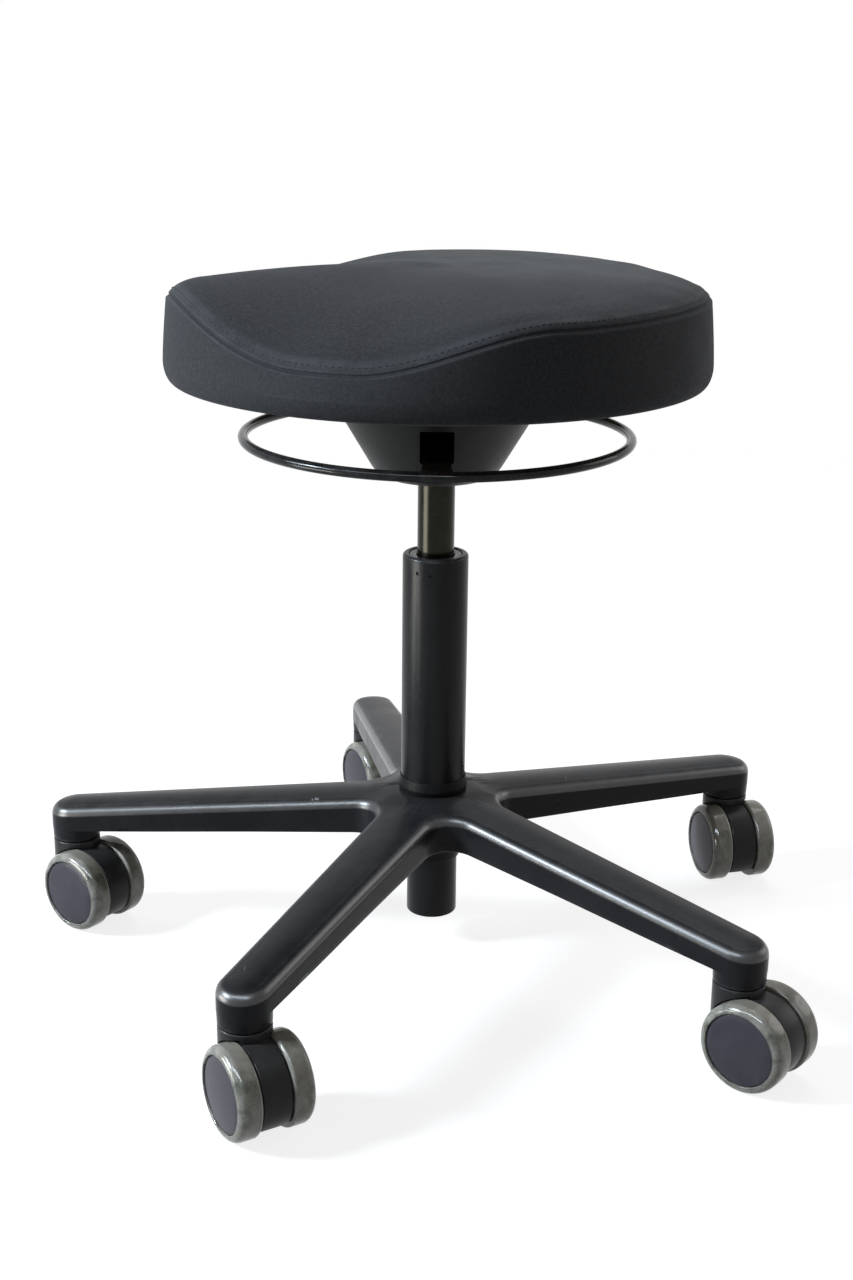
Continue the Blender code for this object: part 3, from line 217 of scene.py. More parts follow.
def makeLamps():
    for name, place, aim, width, height, watts, colour, lights in studio["lamps"]:
        lamp = bpy.data.lights.new(name, "AREA")
        lamp.shape, lamp.size, lamp.size_y = "RECTANGLE", width, height
        lamp.energy, lamp.color = watts, colour
        made = bpy.data.objects.new(name, lamp)
        bpy.context.scene.collection.objects.link(made)
        made.location = place
        made.visible_camera, made.visible_diffuse = False, lights
        made.rotation_euler = (Vector(aim) - Vector(place)).to_track_quat("-Z", "Y").to_euler()


makeCamera()
makeFloor()
makeWorld()
makeLamps()
bpy.context.scene.view_settings.view_transform = "Standard"
print("camera, floor and lamps in place")


# node groups that the finishes use; a pair is where a mask is empty and where it is full
groupLook = {
    "grainFiner": 3.3, "drift": (0.34, 0.68), "worn": (0.28, 0.74), "scratch": (0.66, 0.74),
    "scratchPatch": (0.56, 0.70), "patchScale": 34.0, "lying": (0.35, 1.0), "dustCloud": (0.35, 0.75),
    "threadGap": (0.30, 0.02),
}
black = (0.0, 0.0, 0.0, 1.0)


def newGroup(name, inputs, outputs):  # an input's value gives its kind: number, vector or colour
    tree = bpy.data.node_groups.new(name, "ShaderNodeTree")
    for label, value in inputs.items():
        kind = "Float" if isinstance(value, float) else "Vector" if len(value) == 3 else "Color"
        socket = tree.interface.new_socket(label, in_out="INPUT", socket_type="NodeSocket" + kind)
        socket.default_value = value
    for label, kind in outputs.items():
        tree.interface.new_socket(label, in_out="OUTPUT", socket_type="NodeSocket" + kind)
    given = tree.nodes.new("NodeGroupInput").outputs
    return tree, given, tree.nodes.new("NodeGroupOutput").inputs


def makeGrainGroup():  # moulded or sprayed grain, as a height
    tree, given, result = newGroup("fine grain", {"Scale": 900.0, "Fine": 0.4}, {"Height": "Float"})
    place = objectPlace(tree)
    coarse = addNoise(tree, place, given["Scale"], Detail=3.0, Roughness=0.55)
    finer = addMath(tree, "MULTIPLY", given["Scale"], groupLook["grainFiner"])
    fine = addNoise(tree, place, finer, Detail=2.0)
    small = addMath(tree, "MULTIPLY", fine, given["Fine"])
    tree.links.new(addMath(tree, "ADD", coarse, small), result["Height"])
    return tree


def makeToneGroup():  # slow drift between two tones, with its value for the roughness
    tree, given, result = newGroup(
        "tone drift",
        {"Tone": black, "Other Tone": black, "Scale": 12.0, "Rough Low": 0.4, "Rough High": 0.5},
        {"Colour": "Color", "Roughness": "Float"})
    cloud = addNoise(tree, objectPlace(tree), given["Scale"], Detail=5.0, Roughness=0.62, Distortion=0.3)
    share = addRange(tree, cloud, *groupLook["drift"])
    tree.links.new(addMix(tree, share, given["Tone"], given["Other Tone"]), result["Colour"])
    span = addMath(tree, "SUBTRACT", given["Rough High"], given["Rough Low"])
    rough = addMath(tree, "ADD", given["Rough Low"], addMath(tree, "MULTIPLY", span, share))
    tree.links.new(rough, result["Roughness"])
    return tree


def makeWearGroup():  # rubbed edges: the meshes carry an edge value at their rounded corners
    tree, given, result = newGroup(
        "edge wear", {"Colour": black, "Rubbed": (0.2, 0.2, 0.2, 1.0), "Amount": 0.4, "Scale": 60.0},
        {"Colour": "Color", "Mask": "Float", "Edge": "Float"})
    carried = tree.nodes.new("ShaderNodeAttribute")
    carried.attribute_name = "edge"
    edge = carried.outputs["Fac"]
    tree.links.new(edge, result["Edge"])
    patch = addNoise(tree, objectPlace(tree), given["Scale"], Detail=4.0, Roughness=0.7)
    broken = addMath(tree, "MULTIPLY", edge, addRange(tree, patch, *groupLook["worn"]))
    mask = addMath(tree, "MULTIPLY", broken, given["Amount"])
    tree.links.new(mask, result["Mask"])
    tree.links.new(addMix(tree, mask, given["Colour"], given["Rubbed"]), result["Colour"])
    return tree


def makeScuffGroup():  # thin scratches that run along one direction, in a few patches
    tree, given, result = newGroup(
        "scuffs", {"Stretch": (400.0, 30.0, 400.0), "Amount": 0.5}, {"Mask": "Float"})
    place = objectPlace(tree)
    drawn = addVectorMath(tree, "MULTIPLY", place, given["Stretch"])["Vector"]
    lines = addRange(tree, addNoise(tree, drawn, 1.0, Detail=3.0), *groupLook["scratch"])
    cloud = addNoise(tree, place, groupLook["patchScale"], Detail=2.0)
    mask = addMath(tree, "MULTIPLY", lines, addRange(tree, cloud, *groupLook["scratchPatch"]))
    tree.links.new(addMath(tree, "MULTIPLY", mask, given["Amount"]), result["Mask"])
    return tree


def makeDustGroup():  # a thin film where the surface faces up
    tree, given, result = newGroup(
        "dust", {"Colour": black, "Film": (0.35, 0.34, 0.32, 1.0), "Amount": 0.1, "Scale": 45.0},
        {"Colour": "Color"})
    cloud = addNoise(tree, objectPlace(tree), given["Scale"], Detail=6.0, Roughness=0.75)
    lying = addRange(tree, facingUp(tree), *groupLook["lying"])
    film = addMath(tree, "MULTIPLY", lying, addRange(tree, cloud, *groupLook["dustCloud"]))
    mask = addMath(tree, "MULTIPLY", film, given["Amount"])
    tree.links.new(addMix(tree, mask, given["Colour"], given["Film"]), result["Colour"])
    return tree


def makeWeaveGroup():  # plain weave from the cloth coordinates that the cover carries
    tree, given, result = newGroup("plain weave", {"Thread": 0.0008}, {"Height": "Float", "Gap": "Float"})
    carried = tree.nodes.new("ShaderNodeAttribute")
    carried.attribute_name = "cloth"
    split = addNode(tree, "ShaderNodeSeparateXYZ", Vector=carried.outputs["Vector"])
    waves = []
    for axis in ("X", "Y"):
        turns = addMath(tree, "DIVIDE", split.outputs[axis], given["Thread"])
        waves.append(addMath(tree, "SINE", addMath(tree, "MULTIPLY", turns, math.pi)))
    height = addMath(tree, "ABSOLUTE", addMath(tree, "MULTIPLY", *waves))
    tree.links.new(height, result["Height"])
    tree.links.new(addRange(tree, height, *groupLook["threadGap"]), result["Gap"])
    return tree


groups = {"grain": makeGrainGroup(), "tone": makeToneGroup(), "wear": makeWearGroup(),
          "scuff": makeScuffGroup(), "dust": makeDustGroup(), "weave": makeWeaveGroup()}
print("node groups built:", len(groups))


# finishes
def startFinish(name, **sockets):
    made = bpy.data.materials.new(name)
    made.use_nodes = True
    shader = made.node_tree.nodes["Principled BSDF"].inputs
    for label, value in sockets.items():
        shader[label.replace("_", " ")].default_value = value
    return made, made.node_tree, shader


def useGroup(tree, key, **values):
    node = tree.nodes.new("ShaderNodeGroup")
    node.node_tree = groups[key]
    for label, value in values.items():
        socket = node.inputs[label.replace("_", " ")]
        plainColour = socket.type == "RGBA" and isinstance(value, tuple)
        feed(tree, socket, (*value, 1) if plainColour else value)
    return node.outputs


def useBump(tree, shader, height, strength, distance):
    bump = addNode(tree, "ShaderNodeBump", Strength=strength, Distance=distance, Height=height)
    tree.links.new(bump.outputs["Normal"], shader["Normal"])


# what the painted and moulded finishes share
paintLook = {
    "driftScale": 14.0, "rubbedTone": (0.16, 0.16, 0.165), "rubbedScale": 70.0, "rubbedShine": 0.25,
    "scuffTone": (0.22, 0.22, 0.22, 1), "chipTone": (0.40, 0.40, 0.40, 1), "chipScale": 650.0,
    "chipFlake": (0.50, 0.60), "chipCore": 0.4, "grainFine": 0.5, "polishMost": 0.90,
    "polishFades": ((0.95, 0.72), (-0.05, 0.22)),  # neither the flat tops nor the edges underneath
}

# rough is low and high, grain is scale, strength and depth, and a chip is a place and a radius
paints = {
    "powderCoat": {
        "name": "satin_powder_coat", "tone": (0.0170, 0.0173, 0.0188), "otherTone": (0.0240, 0.0244, 0.0264),
        "rough": (0.25, 0.33), "gloss": 0.07, "grain": (1100.0, 0.08, 0.0004), "wear": 0.40, "dust": 0.03,
        "scuff": 0.55, "polish": 3.4,
        "chips": (((-0.0651, -0.1529, 0.0985), 0.006), ((-0.0923, -0.0085, 0.1220), 0.005))},
    "columnPaint": {
        "name": "column_paint", "tone": (0.0125, 0.0125, 0.0128), "otherTone": (0.0165, 0.0165, 0.0168),
        "rough": (0.24, 0.32), "gloss": 0.105, "grain": (900.0, 0.05, 0.0003), "wear": 0.4, "dust": 0.02,
        "scuff": 0.35},
    "wireGloss": {
        "name": "wire_gloss", "tone": (0.004, 0.004, 0.0046), "otherTone": (0.007, 0.007, 0.008),
        "rough": (0.12, 0.20), "gloss": 0.12, "wear": 0.2, "dust": 0.03, "scuff": 0.25},
    "coverPlastic": {
        "name": "cone_plastic", "tone": (0.036, 0.0355, 0.035), "otherTone": (0.046, 0.0455, 0.0445),
        "rough": (0.38, 0.48), "gloss": 0.10, "grain": (750.0, 0.14, 0.0005), "wear": 0.3, "dust": 0.03},
    "bushPlastic": {
        "name": "bush_plastic", "tone": (0.006, 0.006, 0.0065), "otherTone": (0.009, 0.009, 0.0095),
        "rough": (0.14, 0.24), "gloss": 0.16, "grain": (500.0, 0.04, 0.0003), "wear": 0.2, "dust": 0.05},
    "collarPlastic": {
        "name": "collar_plastic", "tone": (0.008, 0.008, 0.0083), "otherTone": (0.011, 0.011, 0.0113),
        "rough": (0.36, 0.48), "gloss": 0.06, "grain": (650.0, 0.10, 0.0004), "wear": 0.15, "dust": 0.02},
    "hoodPlastic": {
        "name": "castor_hood_plastic", "tone": (0.026, 0.0256, 0.0262), "otherTone": (0.034, 0.0335, 0.0343),
        "rough": (0.30, 0.40), "gloss": 0.12, "grain": (800.0, 0.10, 0.0004), "wear": 0.30, "dust": 0.04,
        "scuff": 0.3},
    "wheelPlastic": {
        "name": "wheel_disc_plastic", "tone": (0.052, 0.048, 0.060), "otherTone": (0.074, 0.069, 0.083),
        "rough": (0.30, 0.42), "gloss": 0.14, "grain": (700.0, 0.12, 0.0004), "wear": 0.4, "dust": 0.06,
        "scuff": 0.25},
    "bufferRubber": {
        "name": "buffer_rubber", "tone": (0.012, 0.012, 0.012), "otherTone": (0.020, 0.020, 0.020),
        "rough": (0.66, 0.82), "gloss": 0.30, "grain": (420.0, 0.2, 0.0006), "wear": 0.3, "dust": 0.1},
    "thread": {
        "name": "topstitch_thread", "tone": (0.006, 0.006, 0.0065), "otherTone": (0.011, 0.011, 0.012),
        "rough": (0.55, 0.70), "gloss": 0.15, "grain": (4200.0, 0.4, 0.0003), "wear": 0.2, "dust": 0.0},
}


def addChips(tree, colour, chips):  # small chips in the paint at given places
    place = objectPlace(tree)
    flake = addNoise(tree, place, paintLook["chipScale"], Detail=3.0)
    broken = addRange(tree, flake, *paintLook["chipFlake"])
    for spot, radius in chips:
        away = addVectorMath(tree, "DISTANCE", place, spot)["Value"]
        within = addRange(tree, away, radius, radius * paintLook["chipCore"])
        mask = addMath(tree, "MULTIPLY", within, broken)
        colour = addMix(tree, mask, colour, paintLook["chipTone"])
    return colour


def makePaint(name, tone, otherTone, rough, gloss, wear, dust, grain=(), scuff=0.0, chips=(), polish=0.0):
    look = paintLook
    made, tree, shader = startFinish(name, Metallic=0.0, Specular_IOR_Level=gloss)
    drift = useGroup(tree, "tone", Tone=tone, Other_Tone=otherTone, Scale=look["driftScale"],
                     Rough_Low=rough[0], Rough_High=rough[1])
    worn = useGroup(tree, "wear", Colour=drift["Colour"], Rubbed=look["rubbedTone"], Amount=wear,
                    Scale=look["rubbedScale"])
    colour = worn["Colour"]
    if scuff:
        marks = useGroup(tree, "scuff", Amount=scuff)
        colour = addMix(tree, marks["Mask"], colour, look["scuffTone"])
    if chips:
        colour = addChips(tree, colour, chips)
    filmed = useGroup(tree, "dust", Colour=colour, Amount=dust)
    tree.links.new(filmed["Colour"], shader["Base Color"])
    smooth = addMath(tree, "MULTIPLY", worn["Mask"], look["rubbedShine"])  # rubbed edges are polished as well
    tree.links.new(addMath(tree, "SUBTRACT", drift["Roughness"], smooth), shader["Roughness"])
    if polish:
        shine = addMath(tree, "MINIMUM", addMath(tree, "MULTIPLY", worn["Edge"], polish), look["polishMost"])
        facing = facingUp(tree)
        for none, full in look["polishFades"]:
            shine = addMath(tree, "MULTIPLY", shine, addRange(tree, facing, none, full))
        tree.links.new(shine, shader["Coat Weight"])
        shader["Coat Roughness"].default_value = rough[1]
    if grain:
        scale, strength, depth = grain
        height = useGroup(tree, "grain", Scale=scale, Fine=look["grainFine"])["Height"]
        useBump(tree, shader, height, strength, depth)
    return made


metalLook = {"driftScale": 26.0, "scratchTone": (0.6, 0.6, 0.6, 1), "scratchBump": 0.08,
             "scratchDepth": 0.0002}
metals = {
    "gunMetal": {
        "name": "dark_polished_steel",
        "tone": (0.0130, 0.0126, 0.0098), "otherTone": (0.0185, 0.0180, 0.0145),
        "rough": (0.20, 0.28), "stretch": (30.0, 30.0, 2600.0), "scratch": 0.12},
    "stapleSteel": {
        "name": "staple_steel", "tone": (0.19, 0.19, 0.20), "otherTone": (0.27, 0.27, 0.27),
        "rough": (0.30, 0.45), "stretch": (500.0, 500.0, 60.0), "scratch": 0.3},
    "zinc": {
        "name": "zinc_plate", "tone": (0.50, 0.50, 0.52), "otherTone": (0.62, 0.61, 0.58),
        "rough": (0.26, 0.42), "stretch": (500.0, 500.0, 60.0), "scratch": 0.4},
}


def makeMetal(name, tone, otherTone, rough, stretch, scratch):
    look = metalLook
    made, tree, shader = startFinish(name, Metallic=1.0)
    drift = useGroup(tree, "tone", Tone=tone, Other_Tone=otherTone, Scale=look["driftScale"],
                     Rough_Low=rough[0], Rough_High=rough[1])
    lines = useGroup(tree, "scuff", Stretch=stretch, Amount=scratch)
    scratched = addMix(tree, lines["Mask"], drift["Colour"], look["scratchTone"])
    tree.links.new(scratched, shader["Base Color"])
    tree.links.new(drift["Roughness"], shader["Roughness"])
    useBump(tree, shader, lines["Mask"], look["scratchBump"], look["scratchDepth"])
    return made


# soft translucent tread, mottled, with a wet gloss; each stage as its node group takes it
tyreLook = {
    "shader": {"Subsurface_Weight": 0.18, "Subsurface_Scale": 0.004, "Subsurface_Radius": (1.0, 1.0, 0.8),
               "Specular_IOR_Level": 0.34},
    "drift": {"Tone": (0.078, 0.082, 0.053), "Other_Tone": (0.380, 0.370, 0.300), "Scale": 105.0,
              "Rough_Low": 0.09, "Rough_High": 0.20},
    "streak": {"Other_Tone": (0.290, 0.270, 0.225), "Scale": 34.0},
    "worn": {"Rubbed": (0.48, 0.47, 0.45), "Amount": 0.6, "Scale": 90.0},
    "film": {"Film": (0.42, 0.40, 0.38), "Amount": 0.12},
    "grain": {"Scale": 320.0, "Fine": 0.3},
    "bump": {"strength": 0.06, "distance": 0.0003},
}


def makeTyreFinish():
    look = tyreLook
    made, tree, shader = startFinish("soft_grey_tyre", **look["shader"])
    drift = useGroup(tree, "tone", **look["drift"])
    streak = useGroup(tree, "tone", Tone=drift["Colour"], **look["streak"])
    worn = useGroup(tree, "wear", Colour=streak["Colour"], **look["worn"])
    filmed = useGroup(tree, "dust", Colour=worn["Colour"], **look["film"])
    tree.links.new(filmed["Colour"], shader["Base Color"])
    tree.links.new(drift["Roughness"], shader["Roughness"])
    useBump(tree, shader, useGroup(tree, "grain", **look["grain"])["Height"], **look["bump"])
    return made


# woven cover, rubbed paler on the sat-on half, and paler along its roll, where the band is partly rubbing and
# partly a painted highlight
clothLook = {
    "shader": {"Sheen_Weight": 0.05, "Sheen_Roughness": 0.40, "Sheen_Tint": (0.75, 0.80, 0.95, 1),
               "Specular_IOR_Level": 0.045},
    "drift": {"Tone": (0.0315, 0.0320, 0.0334), "Other_Tone": (0.0425, 0.0430, 0.0446), "Scale": 15.0,
              "Rough_Low": 0.64, "Rough_High": 0.76},
    "fleck": {"Other_Tone": (0.052, 0.0526, 0.0546), "Scale": 430.0},
    "thread": 0.0009, "gapTone": (0.012, 0.012, 0.013, 1), "gapShare": 0.45,
    "satSpot": (0.075, 0.045, 0.530), "satReach": (0.18, 0.05), "satTone": (0.098, 0.0995, 0.0955, 1),
    "satShare": 0.75, "satPatch": (-0.2, 0.9), "satNoise": {"scale": 55.0, "Detail": 4.0, "Roughness": 0.6},
    # the bluish rubbed tone on the roll and the roll tone are partly a painted highlight along the roll above
    # the seam
    "worn": {"Rubbed": (0.130, 0.137, 0.156), "Amount": 0.22, "Scale": 40.0},
    "rollSheenTone": (0.130, 0.137, 0.150, 1), "rollSheenShare": 0.12,
    "grain": {"Scale": 520.0, "Fine": 0.6}, "grainShare": 1.6, "bump": {"strength": 0.35, "distance": 0.0003},
}


def makeClothFinish():
    look = clothLook
    made, tree, shader = startFinish("seat_cloth", **look["shader"])
    drift = useGroup(tree, "tone", **look["drift"])
    fleck = useGroup(tree, "tone", Tone=drift["Colour"], **look["fleck"])
    weave = useGroup(tree, "weave", Thread=look["thread"])
    gaps = addMath(tree, "MULTIPLY", weave["Gap"], look["gapShare"])
    woven = addMix(tree, gaps, fleck["Colour"], look["gapTone"])
    place = objectPlace(tree)
    away = addVectorMath(tree, "DISTANCE", place, look["satSpot"])["Value"]
    within = addRange(tree, away, *look["satReach"])
    patch = addRange(tree, addNoise(tree, place, **look["satNoise"]), *look["satPatch"])
    sat = addMath(tree, "MULTIPLY", addMath(tree, "MULTIPLY", within, patch), look["satShare"])
    rubbed = addMix(tree, sat, woven, look["satTone"])
    worn = useGroup(tree, "wear", Colour=rubbed, **look["worn"])
    # the roll is painted paler again: a painted highlight along the seam's roll
    rollSheen = addMath(tree, "MULTIPLY", worn["Edge"], look["rollSheenShare"])
    tree.links.new(addMix(tree, rollSheen, worn["Colour"], look["rollSheenTone"]), shader["Base Color"])
    tree.links.new(drift["Roughness"], shader["Roughness"])
    grain = useGroup(tree, "grain", **look["grain"])
    rough = addMath(tree, "MULTIPLY", grain["Height"], look["grainShare"])
    useBump(tree, shader, addMath(tree, "ADD", weave["Height"], rough), **look["bump"])
    return made


plyLook = {
    "shader": {"Specular_IOR_Level": 0.35},
    "drift": {"Tone": (0.40, 0.27, 0.145), "Other_Tone": (0.50, 0.36, 0.205), "Scale": 9.0,
              "Rough_Low": 0.55, "Rough_High": 0.70},
    "stretch": (14.0, 120.0, 700.0), "lineTone": (0.27, 0.165, 0.08, 1), "lines": (0.42, 0.66),
    "fibre": {"scale": 1.0, "Detail": 6.0, "Roughness": 0.65, "Distortion": 0.6},
    "bump": {"strength": 0.15, "distance": 0.0004},
}


def makePlywoodFinish():
    look = plyLook
    made, tree, shader = startFinish("birch_plywood", **look["shader"])
    drawn = addVectorMath(tree, "MULTIPLY", objectPlace(tree), look["stretch"])["Vector"]
    fibre = addNoise(tree, drawn, **look["fibre"])
    drift = useGroup(tree, "tone", **look["drift"])
    lines = addRange(tree, fibre, *look["lines"])
    tree.links.new(addMix(tree, lines, drift["Colour"], look["lineTone"]), shader["Base Color"])
    tree.links.new(drift["Roughness"], shader["Roughness"])
    useBump(tree, shader, fibre, **look["bump"])
    return made


finishes = {key: makePaint(**settings) for key, settings in paints.items()}
finishes.update({key: makeMetal(**settings) for key, settings in metals.items()})
finishes.update(tyre=makeTyreFinish(), cloth=makeClothFinish(), plywood=makePlywoodFinish())
print("finishes mixed:", len(finishes))


# mesh helpers
meshing = {
    "sharpAngle": 32.0, "threadSharp": 80.0, "weldGap": 1e-7, "leastWidth": 1e-5,
    "bendFrom": 85, "bendSpan": 120,  # the edge value starts at bends of under 12 mm radius
    "leastAngle": 0.14, "mostAngle": 0.9,  # facets of a rounded edge, not of a wide curve or a corner
}


def ease(value):
    value = min(max(value, 0.0), 1.0)
    return value * value * (3 - 2 * value)


def roundCorners(corners, steps):  # (x, y, radius) corners to a closed outline
    outline = []
    for index, (x, y, radius) in enumerate(corners):
        here = Vector((x, y))
        back = (Vector(corners[index - 1][:2]) - here).normalized()
        ahead = (Vector(corners[(index + 1) % len(corners)][:2]) - here).normalized()
        if radius <= 0:
            outline.append(here)
            continue
        half = back.angle(ahead) / 2
        centre = here + (back + ahead).normalized() * radius / math.sin(half)
        start = here + back * radius / math.tan(half) - centre
        sweep = start.angle_signed(here + ahead * radius / math.tan(half) - centre)
        outline += [centre + Matrix.Rotation(-sweep * step / steps, 2) @ start for step in range(steps + 1)]
    return outline


def edgeBend(edge):  # 0 to 1 for how tightly the surface bends outward across an edge
    if len(edge.link_faces) != 2:
        return 0.0
    angle = edge.calc_face_angle_signed(0.0)
    if not meshing["leastAngle"] < angle < meshing["mostAngle"]:
        return 0.0
    apart = edge.link_faces[0].calc_center_median() - edge.link_faces[1].calc_center_median()
    along = (edge.verts[1].co - edge.verts[0].co).normalized()
    width = (apart - along * apart.dot(along)).length
    bend = angle / max(width, meshing["leastWidth"])
    return min(1.0, max(0.0, (bend - meshing["bendFrom"]) / meshing["bendSpan"]))


def settleMesh(made, name, sharp=meshing["sharpAngle"]):  # to a mesh, smooth, with the edge value for wear
    bmesh.ops.remove_doubles(made, verts=made.verts[:], dist=meshing["weldGap"])
    bmesh.ops.recalc_face_normals(made, faces=made.faces[:])
    mesh = bpy.data.meshes.new(name)
    worn = made.verts.layers.float.get("edge") or made.verts.layers.float.new("edge")
    for edge in made.edges:
        bend = edgeBend(edge)
        for vert in edge.verts:
            vert[worn] = max(vert[worn], bend)
    made.to_mesh(mesh)
    made.free()
    mesh.shade_smooth()
    mesh.set_sharp_from_angle(angle=math.radians(sharp))
    return mesh


def latheMesh(name, profile, sides, sharp=meshing["sharpAngle"]):  # closed (radius, z) profile turned about Z
    made = bmesh.new()
    columns = []
    for step in range(sides):
        turn = 2 * math.pi * step / sides
        columns.append([made.verts.new((r * math.cos(turn), r * math.sin(turn), z)) for r, z in profile])
    for near, far in zip(columns, columns[1:] + columns[:1]):
        for index in range(len(near)):
            after = (index + 1) % len(near)
            if near[index].co.xy.length + near[after].co.xy.length > meshing["weldGap"]:
                made.faces.new((near[index], near[after], far[after], far[index]))
    return settleMesh(made, name, sharp)


def prismMesh(name, outline, low, high):
    made = bmesh.new()
    rings = [[made.verts.new((x, y, z)) for x, y in outline] for z in (low, high)]
    for ring in rings:
        made.faces.new(ring)
    for index in range(len(outline)):
        after = (index + 1) % len(outline)
        made.faces.new((rings[0][index], rings[0][after], rings[1][after], rings[1][index]))
    return settleMesh(made, name)


def rodProfile(radius, low, high, edge=0.0, steps=4):
    return roundCorners([(0, high, 0), (radius, high, edge), (radius, low, edge), (0, low, 0)], steps)


def carve(mesh, tool, operation, place=None):  # one Boolean on two meshes, which gives a new mesh
    scene = bpy.context.scene.collection.objects
    body, helper = bpy.data.objects.new("carve_body", mesh), bpy.data.objects.new("carve_tool", tool)
    scene.link(body)
    scene.link(helper)
    if place:
        helper.matrix_world = place
    step = body.modifiers.new("carve", "BOOLEAN")
    step.operation, step.solver, step.object = operation, "EXACT", helper
    bpy.context.view_layer.update()
    result = bpy.data.meshes.new_from_object(body.evaluated_get(bpy.context.evaluated_depsgraph_get()))
    for used in (body, helper):
        bpy.data.objects.remove(used)
    return result


def resettle(mesh):  # edge value and sharp edges again, after Booleans
    made = bmesh.new()
    made.from_mesh(mesh)
    if made.verts.layers.float.get("edge"):
        made.verts.layers.float.remove(made.verts.layers.float["edge"])
    return settleMesh(made, mesh.name)


def sideways(offset=(0, 0, 0), axis="Y"):  # lays a turned shape along Y or X
    angle, about = (-90, "X") if axis == "Y" else (90, "Y")
    return Matrix.Translation(offset) @ Matrix.Rotation(math.radians(angle), 4, about)


def addPiece(name, mesh, finish, body, stands=(), place=None):
    made = bpy.data.objects.new(name, mesh)
    bpy.context.scene.collection.objects.link(made)
    if place:
        made.matrix_world = place
    mesh.materials.clear()
    mesh.materials.append(finishes[finish])
    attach(made, body)
    if stands:
        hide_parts(*stands)
    return made


# five-leg base
star = {
    "legs": 5, "firstLeg": 173.3, "castorCircle": 0.2918, "tipRadius": 0.0190, "sideOffset": 0.0240,
    "filletRadius": 0.021, "edgeRadius": 0.0078, "lowerEdge": 0.0016, "crown": 0.0014,
    "lowerFadeFrom": 0.3, "lowerFadeLength": 0.5,  # shares of the leg: the tip runs straight into its boss
    "tipTop": 0.1013, "rootTop": 0.1269, "rootRadius": 0.045, "hubTop": 0.1305, "hubFlat": 0.027,
    "tipUnder": 0.0803, "hubUnder": 0.0980, "boreTop": 0.0217, "boreBottom": 0.0200,
    "wall": 0.005, "rib": 0.0045, "pockets": 3, "pocketStart": 0.072, "pocketEdge": 0.0022,
    "skirtLow": 0.0735, "skirtRadius": 0.0214, "skirtLip": 0.0007, "skirtLean": 0.0012, "skirtBend": 0.0860,
    "skirtSweep": 0.016, "skirtOut": 0.0390, "skirtLap": 0.004,
    "bossTopRadius": 0.01897, "bossRadius": 0.0185, "bossBottom": 0.0702, "bossLean": 0.0001,
    "bossFoot": 0.0025, "bossRound": 0.0009, "stemBore": 0.0058, "stemTop": 0.0905,
    "filletSteps": 14, "sideSteps": 22, "tipSteps": 12, "crownSteps": 10, "edgeSteps": 8, "wallSteps": 4,
    "lowerSteps": 3, "bossSteps": 3, "skirtSteps": 8, "seamGap": 1e-6, "bossSides": 96, "boreSides": 32,
}


def legTop(spot):
    s = star
    fall = (s["rootTop"] - s["tipTop"]) / (s["castorCircle"] - s["rootRadius"])
    line = s["rootTop"] - fall * (spot.x - s["rootRadius"])
    swell = 1 - ease((spot.length - s["hubFlat"]) / (s["rootRadius"] - s["hubFlat"]))
    return line + (s["hubTop"] - line) * swell


def legUnder(x):
    s = star
    fall = (s["hubUnder"] - s["tipUnder"]) / (s["castorCircle"] - s["hubFlat"])
    return s["hubUnder"] - fall * max(0.0, x - s["hubFlat"])


def legTurns():
    return [math.radians(star["firstLeg"] + 360 * leg / star["legs"]) for leg in range(star["legs"])]


def legOutline():  # half a leg in plan: edge point, angle round the bore, share along the spine, way inward
    s = star
    tilt = math.asin((s["sideOffset"] - s["tipRadius"]) / s["castorCircle"])
    half = math.pi / s["legs"]
    reach = (s["filletRadius"] + s["sideOffset"]) / math.sin(half + tilt)
    centre = reach * Vector((math.cos(half), math.sin(half)))
    sweep = math.pi / 2 - half - tilt
    entries = []
    for step in range(s["filletSteps"] + 1):
        share = step / s["filletSteps"]
        turn = math.pi + half + sweep * share
        inward = Vector((math.cos(turn), math.sin(turn)))
        entries.append((centre + s["filletRadius"] * inward, half * (1 - share), 0.0, inward))
    start, tip = entries[-1][0], Vector((s["castorCircle"], 0))
    outward = Vector((math.sin(tilt), math.cos(tilt)))
    end = tip + s["tipRadius"] * outward
    for step in range(1, s["sideSteps"] + 1):
        share = step / s["sideSteps"]
        entries.append((start.lerp(end, share), 0.0, share, -outward))
    for step in range(1, s["tipSteps"] + 1):
        turn = (math.pi / 2 - tilt) * (1 - step / s["tipSteps"])
        outward = Vector((math.cos(turn), math.sin(turn)))
        entries.append((tip + s["tipRadius"] * outward, 0.0, 1.0, -outward))
    return entries


def spineSpot(bore, angle, share):
    if angle > 0:
        return bore * Vector((math.cos(angle), math.sin(angle)))
    return Vector((bore + (star["castorCircle"] - bore) * share, 0))


def legSection(edge, angle, share, inward):  # over the crown and the edge, down the side and back under
    s = star
    spine = spineSpot(s["boreTop"], angle, share)
    section = []
    for step in range(s["crownSteps"] + 1):
        out = step / s["crownSteps"]
        spot = spine.lerp(edge + inward * s["edgeRadius"], out)
        section.append((spot, legTop(spot) - s["crown"] * out ** 2))
    for step in range(1, s["edgeSteps"] + 1):
        lean = math.pi / 2 * step / s["edgeSteps"]
        spot = edge + inward * s["edgeRadius"] * (1 - math.sin(lean))
        section.append((spot, legTop(spot) - s["crown"] - s["edgeRadius"] * (1 - math.cos(lean))))
    lower = s["lowerEdge"] * (1 - ease((share - s["lowerFadeFrom"]) / s["lowerFadeLength"]))
    high, low = section[-1][1], legUnder(edge.x) + lower
    for step in range(1, s["wallSteps"] + 1):
        section.append((edge, high + (low - high) * step / s["wallSteps"]))
    for step in range(1, s["lowerSteps"] + 1):
        lean = math.pi / 2 * step / s["lowerSteps"]
        section.append((edge + inward * lower * (1 - math.cos(lean)), low - lower * math.sin(lean)))
    under = spineSpot(s["boreBottom"], angle, share)
    section.append((under, legUnder(under.x)))
    return section


